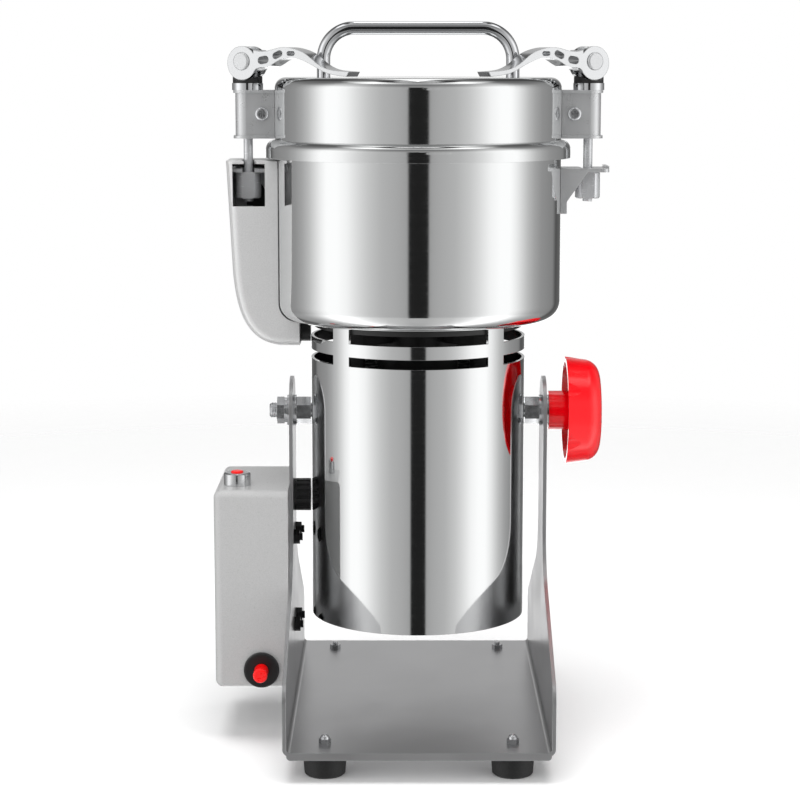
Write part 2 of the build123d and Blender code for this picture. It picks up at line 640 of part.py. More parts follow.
# --- motor housing ----------------------------------------------------------
def slot_band(z0, z1):
    """Everything between the posts in one row of vents."""
    band = tube(HOUSE_R + PAST, HOUSE_IN - PAST, z0, z1)
    for i in range(POST_COUNT):
        post = block(HOUSE_IN - 2 * PAST, HOUSE_R + 2 * PAST, -POST_W / 2, POST_W / 2,
                     z0 - PAST, z1 + PAST)
        band -= Rot(0, 0, 45 + i * 360 / POST_COUNT) * post
    return band


def motor_housing():
    shell = tube(HOUSE_R, HOUSE_IN, HOUSE_Z0, BOWL_Z0)
    top_slot = BOWL_Z0 - TOP_SLOT_H
    low_slot = top_slot - SLOT_BAND
    shell -= slot_band(low_slot - LOW_SLOT_H, low_slot)
    shell -= slot_band(top_slot, BOWL_Z0 + PAST)
    shell -= along_x(rod(M8_R + SEAT_FIT, -ARM_OUT, ARM_OUT), 0, 0, PIVOT_Z)
    return shell


def housing_bottom_cover():
    cover = rod(HOUSE_IN - SEAT_FIT, HOUSE_Z0, HOUSE_Z0 + COVER_T)
    vent = extrude(SlotOverall(*COVER_VENT_SIZE), COVER_T + 2 * PAST)
    for i in range(COVER_VENTS):
        place = Rot(0, 0, i * 360 / COVER_VENTS) * Pos(COVER_VENT_R, 0, HOUSE_Z0 - PAST)
        cover -= place * vent
    for place in cover_screw_places():
        cover -= place * rod(M4_R + SEAT_FIT, HOUSE_Z0 - PAST, HOUSE_Z0 + COVER_T + PAST)
    return cover


def cover_screw_places():
    return [Rot(0, 0, 45 + 90 * i) * Pos(COVER_SCREW_R, 0, 0) for i in range(4)]


def head_screws():
    """Four screws up through the bottom cover, four down through the bowl."""
    low = Pos(0, 0, HOUSE_Z0) * Rot(180, 0, 0)
    low *= pan_screw(M4_R, M4_HEAD_R, M4_HEAD_H, PAN_Z - HOUSE_Z0)
    length = BOWL_WALL + TOP_PLATE_T + NUT_SPARE
    top = Pos(0, 0, BOWL_FLOOR) * pan_screw(M4_R, M4_HEAD_R, M4_HEAD_H, length)
    parts = [place * low for place in cover_screw_places()]
    parts += [place * top for place in bowl_screw_places()]
    return Compound(parts)


# --- motor ------------------------------------------------------------------
def lower_motor_bracket():
    """A pan with a bearing hub below and a wall that carries the stator."""
    body = rod(BRACKET_R, PAN_Z, CORE_Z0) - rod(CARRY_R, PAN_Z + PAN_T, CORE_Z0 + PAST)
    hub_z = LOW_BEARING_Z - HUB_WALL / 2
    body += rod(BEARING_R + HUB_WALL, hub_z, PAN_Z)
    body -= rod(BEARING_R + SEAT_FIT, LOW_BEARING_Z, PAN_Z)
    body -= rod(SHAFT_R + PAST, hub_z - PAST, LOW_BEARING_Z + PAST)
    body -= rod(BEARING_R - PAST, PAN_Z - PAST, PAN_Z + PAN_T + PAST)
    vent_x0 = BEARING_R + HUB_WALL + PAN_VENT_GAP
    vent_x1 = COVER_SCREW_R - M4_HEAD_R - PAN_VENT_GAP
    vent = extrude(SlotOverall(vent_x1 - vent_x0, PAN_VENT_W), PAN_T + 2 * PAST)
    vent = Pos((vent_x0 + vent_x1) / 2, 0, PAN_Z - PAST) * vent
    return body - [Rot(0, 0, 45 + 90 * i) * vent for i in range(4)]


def upper_motor_bracket():
    """Top plate under the bowl, bearing hub and four legs down to the stator."""
    hub_r = BEARING_R + TOP_HUB_WALL
    body = rod(BRACKET_R, BOWL_Z0 - TOP_PLATE_T, BOWL_Z0) + rod(hub_r, TOP_HUB_Z0, BOWL_Z0)
    half = LEG_W / 2
    leg_end = math.sqrt(BRACKET_R ** 2 - half ** 2)
    leg = block(CARRY_R, leg_end, -half, half, CORE_Z1, BOWL_Z0)
    rib_z = BOWL_Z0 - TOP_PLATE_T * 3
    rib = block(hub_r - PAST, CARRY_R + PAST, -RIB_T / 2, RIB_T / 2, rib_z, BOWL_Z0 - PAST)
    body = body + [Rot(0, 0, 45 + 90 * i) * (leg + rib) for i in range(4)]
    bearing_top = TOP_BEARING_Z + BEARING_H
    body -= rod(BEARING_R + SEAT_FIT, TOP_HUB_Z0 - PAST, bearing_top)
    body -= rod(SEAL_R + SEAT_FIT, bearing_top - PAST, SEAL_Z + SEAL_H)
    body -= rod(SHAFT_R + PAST, SEAL_Z, BOWL_Z0 + PAST)
    for place in bowl_screw_places():
        body -= place * rod(M4_R + SEAT_FIT, BOWL_Z0 - TOP_PLATE_T - PAST, BOWL_Z0 + PAST)
    return body


def coil_place():
    """Inner and outer y of the coils, and half the width of the pole inside them."""
    inner = CORE_BORE_R + COIL_GAP
    outer = inner + COIL_T
    corner = CARRY_R - POLE_INSET
    return inner, outer, math.sqrt(corner ** 2 - outer ** 2) - COIL_W - COIL_GAP


def stator_core():
    """Lamination stack with a pocket on both sides of each pole."""
    core = tube(CORE_R, CORE_BORE_R, CORE_Z0, CORE_Z1)
    y0, y1, pole = coil_place()
    pocket = block(pole, pole + COIL_W + 2 * COIL_GAP, y0 - COIL_GAP, y1 + COIL_GAP,
                   CORE_Z0 - PAST, CORE_Z1 + PAST)
    pockets = [pocket, mirrored(pocket)]
    return core - pockets - [Rot(0, 0, 180) * one for one in pockets]


def field_coils():
    """Two flat wound loops, one around each pole."""
    y0, y1, pole = coil_place()
    hole = pole + COIL_GAP
    inner = block(-hole, hole, y0 - PAST, y1 + PAST, CORE_Z0 - COIL_GAP, CORE_Z1 + COIL_GAP)
    outer = block(-hole - COIL_W, hole + COIL_W, y0, y1, CORE_Z0 - COIL_END, CORE_Z1 + COIL_END)
    coil = fillet(outer.edges().filter_by(Axis.Y), COIL_END / 2) - inner
    return Compound([coil, Rot(0, 0, 180) * coil])


def brush_holders():
    """Box guides on the lower bracket, closed at the outer end."""
    half = BRUSH_SIZE / 2
    x0 = COMM_R + HOLDER_WALL
    side = half + HOLDER_WALL
    shell = block(x0, HOLDER_END, -side, side, PAN_Z + PAN_T, BRUSH_Z + side)
    fit = half + SEAT_FIT
    shell -= block(x0 - PAST, HOLDER_END - HOLDER_WALL, -fit, fit, BRUSH_Z - fit, BRUSH_Z + fit)
    return Compound([shell, Rot(0, 0, 180) * shell])


def carbon_brushes():
    half = BRUSH_SIZE / 2
    x1 = HOLDER_END - HOLDER_WALL - BRUSH_SPRING_L
    brush = block(COMM_R + FREE_GAP, x1, -half, half, BRUSH_Z - half, BRUSH_Z + half)
    return Compound([brush, Rot(0, 0, 180) * brush])


def motor_bearings():
    one = tube(BEARING_R, SHAFT_R + RUN_FIT, 0, BEARING_H)
    groove = tube(BEARING_R - BEARING_GROOVE, SHAFT_R + BEARING_GROOVE, BEARING_H - 1,
                  BEARING_H + PAST)
    one -= groove
    return Compound([Pos(0, 0, LOW_BEARING_Z) * one, Pos(0, 0, TOP_BEARING_Z) * one])


def shaft_seal():
    return tube(SEAL_R, SHAFT_R + RUN_FIT, SEAL_Z, SEAL_Z + SEAL_H)


def motor_shaft():
    return chamfer(rod(SHAFT_R, LOW_BEARING_Z, SHAFT_Z1).edges(), 0.8)


def armature_core():
    core = tube(ARMATURE_R, SHAFT_R + RUN_FIT, CORE_Z0, CORE_Z1)
    slot = block(ARMATURE_R - SLOT_DEPTH, ARMATURE_R + PAST, -SLOT_W / 2, SLOT_W / 2,
                 CORE_Z0 - PAST, CORE_Z1 + PAST)
    return core - [Rot(0, 0, i * 360 / ARMATURE_SLOTS) * slot for i in range(ARMATURE_SLOTS)]


def armature_winding():
    """End turns of the armature, one bundle at each end of the core."""
    bore = SHAFT_R + RUN_FIT
    outer = ARMATURE_R - WINDING_INSET
    low = tube(outer, bore, CORE_Z0 - WINDING_LOW_H, CORE_Z0)
    low = fillet(low.edges().group_by(Axis.Z)[0].sort_by(SortBy.RADIUS)[-1], WINDING_LOW_H * 0.4)
    top = tube(outer, bore, CORE_Z1, CORE_Z1 + WINDING_TOP_H)
    top = fillet(top.edges().group_by(Axis.Z)[-1].sort_by(SortBy.RADIUS)[-1], WINDING_TOP_H * 0.4)
    return Compound([low, top])


def commutator():
    body = tube(COMM_R, SHAFT_R + RUN_FIT, COMM_Z0, COMM_Z0 + COMM_H)
    cut = block(COMM_R - 1, COMM_R + PAST, -COMM_CUT / 2, COMM_CUT / 2, COMM_Z0 - PAST,
                COMM_Z0 + COMM_H - COMM_CUT * 2)
    return body - [Rot(0, 0, i * 360 / COMM_BARS) * cut for i in range(COMM_BARS)]


def cooling_fan():
    """A disc with radial blades and a hub."""
    z0 = CORE_Z1 + FAN_GAP
    z1 = z0 + FAN_H
    body = rod(FAN_R, z0, z0 + FAN_T) + rod(FAN_HUB_R, z0, z1)
    half = FAN_BLADE_T / 2
    blade = block(FAN_R / 2, FAN_R - half, -half, half, z0, z1)
    body = body + [Rot(0, 0, i * 360 / FAN_BLADES) * blade for i in range(FAN_BLADES)]
    return body - rod(SHAFT_R + RUN_FIT, z0 - PAST, z1 + PAST)


# --- bowl -------------------------------------------------------------------
def bowl_form(radius, z0, z1, corner):
    """A round-bottomed drum, used for the bowl and for what must clear it."""
    return fillet(rod(radius, z0, z1).edges().group_by(Axis.Z)[0], corner)


def bowl_screw_places():
    return [Rot(0, 0, 90 * i) * Pos(BOWL_SCREW_R, 0, 0) for i in range(4)]


def grinding_bowl():
    top = RIM_TOP - RIM_WALL
    bowl = bowl_form(BOWL_R, BOWL_Z0, top, BOWL_CORNER_R)
    bowl -= bowl_form(BOWL_IN, BOWL_FLOOR, top + PAST, BOWL_CORNER_R - BOWL_WALL)
    bowl -= rod(SHAFT_HOLE_R, BOWL_Z0 - PAST, BOWL_FLOOR + PAST)
    for place in bowl_screw_places():
        bowl -= place * rod(M4_R + SEAT_FIT, BOWL_Z0 - PAST, BOWL_FLOOR + PAST)
    return bowl


def bowl_rim():
    """A turned-over rim: flat joint face, round shoulder, short skirt."""
    outer = fillet(rod(RIM_R, RIM_Z0, RIM_TOP).edges().group_by(Axis.Z)[-1], RIM_OUT)
    inner = rod(RIM_R - RIM_WALL, RIM_Z0 - PAST, RIM_TOP - RIM_WALL)
    inner = fillet(inner.edges().group_by(Axis.Z)[-1], RIM_OUT - RIM_WALL)
    return outer - inner - rod(BOWL_IN, RIM_Z0 - PAST, RIM_TOP + PAST)


def tooth_ring():
    """Fluted liner standing on the start of the bowl's bottom corner."""
    z0 = BOWL_Z0 + BOWL_CORNER_R + FREE_GAP
    outer = BOWL_IN - SEAT_FIT
    ring = tube(outer, outer - RING_WALL, z0, z0 + RING_H)
    tooth = Pos(outer - RING_WALL + TOOTH_R / 4, 0, 0) * rod(TOOTH_R, z0, z0 + RING_H)
    return ring + [Rot(0, 0, i * 360 / RING_TEETH) * tooth for i in range(RING_TEETH)]


def grinding_blade(z):
    """A blunt bar with a rounded end and an upright fin near each tip."""
    top = z + BLADE_T
    bar = block(-BLADE_R, BLADE_R, -BLADE_W / 2, BLADE_W / 2, z, top)
    bar &= rod(BLADE_R, z - PAST, top + PAST)
    fin_x = BLADE_R - FIN_L / 2
    fin = block(fin_x - FIN_L, fin_x, -FIN_T / 2, FIN_T / 2, z, top + FIN_L)
    bar = bar + fin + mirrored(fin)
    return bar - rod(SHAFT_R + RUN_FIT, z - PAST, top + PAST)


def grinding_blades():
    return Compound([grinding_blade(LOW_BLADE_Z), Rot(0, 0, 90) * grinding_blade(TOP_BLADE_Z)])


def blade_hardware():
    """Collars below and between the blades and the nut on top."""
    bore = SHAFT_R + RUN_FIT
    low = tube(COLLAR_R, bore, BOWL_FLOOR + PAST, LOW_BLADE_Z)
    middle = tube(COLLAR_R, bore, LOW_BLADE_Z + BLADE_T, TOP_BLADE_Z)
    nut_z = TOP_BLADE_Z + BLADE_T
    nut = hexagon(BLADE_NUT_AF, nut_z, nut_z + BLADE_NUT_H)
    nut -= rod(bore, nut_z - PAST, nut_z + BLADE_NUT_H + PAST)
    return Compound([low, middle, nut])


# --- latch brackets and interlock cover -------------------------------------
def rod_slot(z0, z1, toward):
    """The curved way a latch rod leaves its bracket: toward is +1 back, -1 front."""
    half = ROD_R + SLOT_SPARE
    ring = tube(ROD_X + half, ROD_X - half, z0, z1)
    away = block(0, ROD_X * 2, 0, toward * ROD_X, z0 - PAST, z1 + PAST)
    return (ring & away) + Pos(ROD_X, 0, 0) * rod(half, z0, z1)


def latch_bracket(toward, past):
    """Plate with the open slot, a leg on the bowl wall and a gusset on the closed side."""
    reach = ROD_X + past
    plate = block(LEG_FACE - BRACKET_T, reach, -BRACKET_HALF, BRACKET_HALF, BRACKET_LOW,
                  BRACKET_TOP)
    plate = fillet(plate.edges().filter_by(Axis.Z).group_by(Axis.X)[-1], BRACKET_CORNER_R)
    lip_half = BRACKET_HALF - BRACKET_CORNER_R
    lip = block(reach - BRACKET_T, reach, -lip_half, lip_half, BRACKET_LOW,
                BRACKET_TOP + BRACKET_LIP)
    leg = block(BOWL_R - BRACKET_T, LEG_FACE, -BRACKET_HALF, BRACKET_HALF, LEG_Z0, BRACKET_TOP)
    root = LEG_FACE - BRACKET_T / 2
    outline = Polyline((root, BRACKET_LOW), (LEG_FACE + GUSSET_W, BRACKET_LOW),
                       (root, BRACKET_LOW - GUSSET_H), close=True)
    gusset = extrude(Plane.XZ * make_face(outline), BRACKET_T / 2, both=True)
    gusset = Pos(0, -toward * (BRACKET_HALF - BRACKET_T / 2), 0) * gusset
    body = plate + lip + leg + gusset
    body -= rod(BOWL_R + SEAT_FIT, LEG_Z0 - PAST, BRACKET_TOP + PAST)
    return body - rod_slot(BRACKET_LOW - PAST, BRACKET_TOP + 2 * PAST, toward)


def right_latch_bracket():
    return latch_bracket(1, BRACKET_PAST)


def left_latch_bracket():
    return mirrored(latch_bracket(-1, COVERED_PAST))


def cover_outline(inset):
    """Front view of the cover on the +X side; the inset one runs on into the bowl."""
    top = COVER_TOP - inset
    out = ROD_X + COVER_PAST - inset
    low_out = out - COVER_TAPER
    foot_x = BOWL_R - BOWL_CORNER_R * 0.38
    foot_z = BOWL_Z0 - COVER_FOOT + inset
    run_on = inset * 20
    inner = BOWL_R - LEG_T * 2 - run_on
    end = COVER_END_X - run_on
    bend = (low_out, BOWL_Z0 + COVER_BEND)
    curve = Spline(bend, (foot_x, foot_z), tangents=[(-0.1, -1), (-1, -0.1)])
    lines = Polyline((foot_x, foot_z), (end, foot_z), (end, BOWL_Z0 + PAN_WALL * 2),
                     (inner, BOWL_Z0 + BOWL_CORNER_R), (inner, top), (out, top), bend)
    return make_face([curve, lines])


def interlock_cover():
    """A folded cover over the left latch bracket with a window for the barrel nut."""
    outer = extrude(Plane.XZ * cover_outline(0), COVER_HALF, both=True)
    sides = [edge for edge in outer.edges() if abs(abs(edge.center().Y) - COVER_HALF) < SEAT_FIT]
    outside = [edge for edge in sides if edge.center().X > BOWL_R - BOWL_CORNER_R / 4]
    outer = fillet([edge for edge in outside if edge.center().Z < COVER_TOP - PAST], COVER_EDGE_R)
    inner = extrude(Plane.XZ * cover_outline(COVER_WALL), COVER_HALF - COVER_WALL, both=True)
    cover = outer - inner
    cover -= bowl_form(BOWL_R + FREE_GAP, BOWL_Z0 - FREE_GAP, COVER_TOP + PAST, BOWL_CORNER_R)
    cover -= block(ROD_X - WINDOW_IN, ROD_X + WINDOW_OUT, -COVER_HALF - PAST,
                   -COVER_HALF + 2 * COVER_WALL, BRACKET_TOP - WINDOW_DROP, COVER_TOP - COVER_WALL)
    cover -= rod_slot(COVER_TOP - COVER_WALL - PAST, COVER_TOP + PAST, -1)
    return mirrored(cover)


def interlock_switch():
    """Micro switch behind the barrel nut, against the bracket's gusset."""
    width, depth, height = SWITCH_SIZE
    x0 = LEG_FACE + PAST
    z1 = NUT_TOP - PAST
    body = block(x0, x0 + width, BRACKET_HALF, BRACKET_HALF + depth, z1 - height, z1)
    tab = block(x0 + width / 4, x0 + width * 3 / 4, BRACKET_HALF + PAST, BRACKET_HALF + 3 * PAST,
                z1 - height - SWITCH_TAB, z1)
    return mirrored(body + tab)


def cover_bush():
    """Black bush where the head lead leaves the cover for the motor housing."""
    start = HOUSE_R + FREE_GAP
    bush = tube(BUSH_R, BUSH_BORE_R, 0, COVER_END_X - start)
    return mirrored(along_x(bush, start, 0, BOWL_Z0 - BUSH_DROP))


# --- lid --------------------------------------------------------------------
def lid_shell():
    outer = fillet(rod(BOWL_R, RIM_TOP, LID_TOP).edges().group_by(Axis.Z)[-1], LID_SHOULDER_R)
    inner = rod(BOWL_R - LID_WALL, RIM_TOP - PAST, LID_TOP - LID_WALL)
    inner = fillet(inner.edges().group_by(Axis.Z)[-1], LID_SHOULDER_R - LID_WALL)
    half = CLIP_HALF - CLIP_T - SEAT_FIT
    lug = block(BOWL_R - LID_WALL / 2, ROD_X - ROD_R - PAST, -half, half, RIM_TOP + LUG_UP,
                RIM_TOP + LUG_UP + LUG_H)
    lug -= along_y(rod(M4_R + SEAT_FIT, -CLIP_HALF, CLIP_HALF), CLIP_BOLT_X, 0, CLIP_BOLT_Z)
    shell = outer + lug + mirrored(lug) - inner
    for x in (-HANDLE_X, HANDLE_X):
        hole = rod(M6_R + SEAT_FIT, LID_TOP - LID_WALL * 2, LID_TOP + PAST)
        shell -= Pos(x, 0, 0) * hole
    return shell


def lid_inner_plate():
    """The pan that closes the lid from below and enters the bowl."""
    floor = RIM_TOP - PAN_DROP
    top = RIM_TOP + PAN_RISE
    flange = BOWL_R - LID_WALL - SEAT_FIT
    inside = PAN_R - PAN_WALL
    return spun([(0, floor), (PAN_R, floor), (PAN_R, top - PAN_WALL), (flange, top - PAN_WALL),
                 (flange, top), (inside, top), (inside, floor + PAN_WALL), (0, floor + PAN_WALL)])


def lid_seal():
    """Rubber band around the pan, just inside the bowl."""
    floor = RIM_TOP - PAN_DROP + BAND_UP
    return tube(BOWL_IN - FREE_GAP, PAN_R + SEAT_FIT, floor, floor + BAND_H)


def lid_handle():
    """A bent round bar with threaded ends below the lid top."""
    top = LID_TOP + HANDLE_H - BAR_R
    left = (-HANDLE_X, 0, LID_TOP)
    path = FilletPolyline(left, (-HANDLE_X, 0, top), (HANDLE_X, 0, top), (HANDLE_X, 0, LID_TOP),
                          radius=HANDLE_BEND_R)
    bar = sweep(Plane(left) * Circle(BAR_R), path)
    length = LID_WALL + M6_NUT_H + NUT_SPARE
    for x in (-HANDLE_X, HANDLE_X):
        bar += Pos(x, 0, 0) * rod(M6_R, LID_TOP - length, LID_TOP + PAST)
    return bar


def handle_nuts():
    top = LID_TOP - LID_WALL
    nut = hexagon(M6_NUT_AF, top - M6_NUT_H, top)
    nut -= rod(M6_R + RUN_FIT, top - M6_NUT_H - PAST, top + PAST)
    return Compound([Pos(x, 0, 0) * nut for x in (-HANDLE_X, HANDLE_X)])


def clip_plan(out, half, corner, z0, z1):
    """A block from the lid wall outwards with two rounded outer corners."""
    body = block(BOWL_R - CLIP_T, out, -half, half, z0, z1)
    return fillet(body.edges().filter_by(Axis.Z).group_by(Axis.X)[-1], corner)


def latch_clip():
    """U strap with a plate above and below that guide the rod."""
    strap = clip_plan(CLIP_OUT, CLIP_HALF, CLIP_CORNER_R, CLIP_Z0, CLIP_Z1)
    strap -= clip_plan(CLIP_OUT - CLIP_T, CLIP_HALF - CLIP_T, CLIP_CORNER_R - CLIP_T,
                       CLIP_Z0 - PAST, CLIP_Z1 + PAST)
    wide = (CLIP_OUT + PLATE_LAP, CLIP_HALF + PLATE_LAP, CLIP_CORNER_R + PLATE_LAP)
    low = CLIP_Z0 - CLIP_T
    body = strap + clip_plan(*wide, CLIP_Z1, PLATE_TOP) + clip_plan(*wide, low, CLIP_Z0)
    body -= rod(BOWL_R + SEAT_FIT, low - PAST, PLATE_TOP + PAST)
    body -= Pos(ROD_X, 0, 0) * rod(ROD_R + SEAT_FIT, low - PAST, PLATE_TOP + PAST)
    bolt_hole = rod(M4_R + SEAT_FIT, -CLIP_HALF - PAST, CLIP_HALF + PAST)
    return body - along_y(bolt_hole, CLIP_BOLT_X, 0, CLIP_BOLT_Z)


def latch_clips():
    clip = latch_clip()
    return Compound([clip, mirrored(clip)])


def clip_bolts():
    length = 2 * CLIP_HALF + M4_NUT_H + NUT_SPARE
    bolt = along_y(pan_screw(M4_R, M4_HEAD_R, M4_HEAD_H, length), CLIP_BOLT_X, -CLIP_HALF,
                   CLIP_BOLT_Z, back=False)
    bolt += along_y(hexagon(M4_NUT_AF, 0, M4_NUT_H), CLIP_BOLT_X, CLIP_HALF, CLIP_BOLT_Z)
    return Compound([bolt, mirrored(bolt)])


def latch_rings():
    bore = SEAT_R - SEAT_WALL + SEAT_FIT
    ring = Pos(ROD_X, 0, 0) * tube(SEAT_R + RING_LAP, bore, PLATE_TOP, RING_TOP)
    return Compound([ring, mirrored(ring)])


def turned_lever(shape):
    """Put a part drawn with the lever pointing at -X onto the right-hand rod."""
    return Pos(ROD_X, 0, 0) * Rot(0, 0, LEVER_TURN) * shape


def cam_seats():
    """Hollowed seats the cams press on, each with a neck inside its ring."""
    seat = rod(SEAT_R - SEAT_WALL, PLATE_TOP, RING_TOP) + rod(SEAT_R, RING_TOP, RING_TOP + SEAT_H)
    groove = rod(SADDLE_R, -SEAT_R * 2, SEAT_R * 2)
    seat -= along_y(groove, 0, 0, SADDLE_Z + SADDLE_R)
    seat -= rod(ROD_R + SEAT_FIT, PLATE_TOP - PAST, RING_TOP + SEAT_H + PAST)
    seat = turned_lever(seat)
    return Compound([seat, mirrored(seat)])


# --- latches ----------------------------------------------------------------
def latch_rod():
    """Threaded rod with an eye for the lever pin."""
    low = NUT_TOP - NUT_H - NUT_SPARE
    eye = along_y(rod(EYE_R, -EYE_W / 2, EYE_W / 2), 0, 0, PIN_Z)
    body = rod(ROD_R, low, PIN_Z) + eye
    return body - along_y(rod(PIN_R + RUN_FIT, -EYE_W, EYE_W), 0, 0, PIN_Z)


def barrel_nut():
    """Round nut with two flats under the bracket plate."""
    low = NUT_TOP - NUT_H
    nut = rod(NUT_R, low, NUT_TOP)
    nut = chamfer(nut.edges(), NUT_FLAT * 0.6)
    flat = NUT_R - NUT_FLAT
    nut &= block(-NUT_R * 2, NUT_R * 2, -flat, flat, low - PAST, NUT_TOP + PAST)
    return nut - rod(ROD_R + RUN_FIT, low - PAST, NUT_TOP + PAST)


def latch_lever():
    """Cam lever drawn pointing at -X with its pin at the origin."""
    edge = [Spline(*LEVER_TOP_EDGE), Line(LEVER_TOP_EDGE[-1], LEVER_LOW_EDGE[0]),
            Spline(*LEVER_LOW_EDGE), Line(LEVER_LOW_EDGE[-1], LEVER_TOP_EDGE[0])]
    outline = make_face(edge) + Pos(0, -CAM_THROW) * Circle(CAM_R)
    lever = extrude(Plane.XZ * outline, LEVER_W / 2, both=True)
    for along, up, length, height, tilt in LEVER_HOLES:
        hole = Plane.XZ * Pos(along, up) * Rot(0, 0, tilt) * SlotOverall(length, height)
        lever -= extrude(hole, LEVER_W, both=True)
    reach = CAM_R + CAM_THROW
    cheek = EYE_W / 2 + FREE_GAP
    lever -= block(-reach, CAM_R - CAM_THROW, -cheek, cheek, -reach * 2, reach)
    lever -= along_y(rod(PIN_R + RUN_FIT, -LEVER_W, LEVER_W), 0, 0, 0)
    return Rot(0, 0, 180) * lever


def lever_pin():
    """Domed pin through both cheeks."""
    half = LEVER_W / 2
    pin = rod(PIN_R, -half, half)
    head = rod(PIN_HEAD_R, half, half + PIN_HEAD_H)
    head = fillet(head.edges().group_by(Axis.Z)[-1], PIN_HEAD_H * 0.85)
    return along_y(pin + head + Rot(180, 0, 0) * head, 0, 0, 0)


def right_latch_rod():
    return turned_lever(latch_rod())


def left_latch_rod():
    return mirrored(right_latch_rod())


def right_barrel_nut():
    return Pos(ROD_X, 0, 0) * barrel_nut()


def left_barrel_nut():
    return mirrored(right_barrel_nut())


def right_latch_lever():
    return turned_lever(Pos(0, 0, PIN_Z) * latch_lever())


def left_latch_lever():
    return mirrored(right_latch_lever())


def right_lever_pin():
    return turned_lever(Pos(0, 0, PIN_Z) * lever_pin())


def left_lever_pin():
    return mirrored(right_lever_pin())


NODES = [
    stand_frame, rubber_feet, foot_screws, foot_nuts, control_box_shell, control_box_screws,
    start_button_bezel, start_button_cap, reset_breaker_body, reset_button, inlet_gland, arm_grommet,
    terminal_block, pivot_studs, pivot_hardware, clamp_knob, knob_insert, motor_housing,
    housing_bottom_cover, head_screws, lower_motor_bracket, upper_motor_bracket, stator_core,
    field_coils, brush_holders, carbon_brushes, motor_bearings, shaft_seal, motor_shaft,
    armature_core, armature_winding, commutator, cooling_fan, grinding_bowl, bowl_rim, tooth_ring,
    grinding_blades, blade_hardware, left_latch_bracket, right_latch_bracket,
    interlock_cover, interlock_switch, cover_bush, lid_shell, lid_inner_plate, lid_seal, lid_handle,
    handle_nuts, latch_clips, clip_bolts, latch_rings, cam_seats, left_latch_rod, left_barrel_nut,
    left_latch_lever, left_lever_pin, right_latch_rod, right_barrel_nut, right_latch_lever,
    right_lever_pin,
]


os.makedirs("parts", exist_ok=True)
for make in NODES:
    shape = Pos(-CENTRE_X, 0, 0) * make()
    export_step(shape, f"parts/{make.__name__}.step")
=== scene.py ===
import math

import bpy
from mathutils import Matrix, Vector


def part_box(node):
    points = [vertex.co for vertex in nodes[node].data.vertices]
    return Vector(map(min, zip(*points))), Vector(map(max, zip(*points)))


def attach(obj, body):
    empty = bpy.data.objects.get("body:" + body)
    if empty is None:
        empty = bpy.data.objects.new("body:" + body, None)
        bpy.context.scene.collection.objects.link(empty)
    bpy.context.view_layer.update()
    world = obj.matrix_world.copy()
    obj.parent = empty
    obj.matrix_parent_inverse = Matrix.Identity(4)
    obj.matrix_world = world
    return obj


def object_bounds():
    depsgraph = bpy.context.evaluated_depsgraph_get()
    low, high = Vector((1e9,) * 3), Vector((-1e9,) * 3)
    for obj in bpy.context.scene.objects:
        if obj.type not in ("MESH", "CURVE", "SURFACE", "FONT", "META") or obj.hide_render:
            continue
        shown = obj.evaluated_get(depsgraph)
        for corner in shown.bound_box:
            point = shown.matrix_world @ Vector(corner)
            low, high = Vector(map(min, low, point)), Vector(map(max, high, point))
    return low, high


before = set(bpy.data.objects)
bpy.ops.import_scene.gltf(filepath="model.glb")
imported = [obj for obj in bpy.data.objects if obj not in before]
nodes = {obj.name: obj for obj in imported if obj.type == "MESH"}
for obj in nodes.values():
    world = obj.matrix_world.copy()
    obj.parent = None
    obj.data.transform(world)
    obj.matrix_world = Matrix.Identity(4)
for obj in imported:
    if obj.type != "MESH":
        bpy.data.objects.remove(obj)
cad_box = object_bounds()

# --- camera and room ---------------------------------------------------------
# A long lens a good metre in front of the mill, looking slightly down on it, and a white
# room: a floor that fades out, and a ring of tall soft boxes with a black flag in front.

LOOKING_DOWN = 8.7      # degrees below level
camera_data = bpy.data.cameras.new("camera")
camera_data.lens = 99.5
camera_data.sensor_width = 36.0
camera = bpy.data.objects.new("camera", camera_data)
camera.location = (-0.0061, -1.205, 0.367)
camera.rotation_euler = (math.radians(90 - LOOKING_DOWN), 0, 0)
bpy.context.scene.collection.objects.link(camera)
bpy.context.scene.camera = camera
bpy.context.scene.view_settings.view_transform = "Standard"


def linear(code):
    """An sRGB hex colour as the linear colour that shaders take."""
    parts = [int(code[i:i + 2], 16) / 255 for i in (1, 3, 5)]
    return tuple(c / 12.92 if c < 0.04045 else ((c + 0.055) / 1.055) ** 2.4 for c in parts) + (1.0,)


def add(tree, kind, feeds=None, **settings):
    """Adds one node. Settings are its properties; feeds are its inputs, values or outputs."""
    made = tree.nodes.new(kind)
    for name, value in settings.items():
        setattr(made, name, value)
    for name, value in (feeds or {}).items():
        if isinstance(value, bpy.types.NodeSocket):
            tree.links.new(value, made.inputs[name])
        else:
            made.inputs[name].default_value = value
    return made


def ramp(tree, value, stops):
    """Passes a value through a colour ramp of (place, grey level) stops."""
    made = add(tree, "ShaderNodeValToRGB", {"Fac": value})
    points = made.color_ramp.elements
    while len(points) < len(stops):
        points.new(0.5)
    for point, (place, level) in zip(points, stops):
        point.position = place
        point.color = (level, level, level, 1)
    return made.outputs["Color"]


world = bpy.data.worlds.new("studio")
bpy.context.scene.world = world
world.use_nodes = True
sky = world.node_tree
sky.nodes.clear()
toward = add(sky, "ShaderNodeTexCoord").outputs["Generated"]
way = add(sky, "ShaderNodeSeparateXYZ", {"Vector": toward}).outputs
turn = add(sky, "ShaderNodeMath", {0: way["X"], 1: add(sky, "ShaderNodeMath", {
    0: way["Y"], 1: -1.0}, operation="MULTIPLY").outputs[0]}, operation="ARCTAN2").outputs[0]
side = add(sky, "ShaderNodeMath", {0: turn}, operation="ABSOLUTE").outputs[0]
share = add(sky, "ShaderNodeMath", {0: side, 1: math.pi}, operation="DIVIDE").outputs[0]
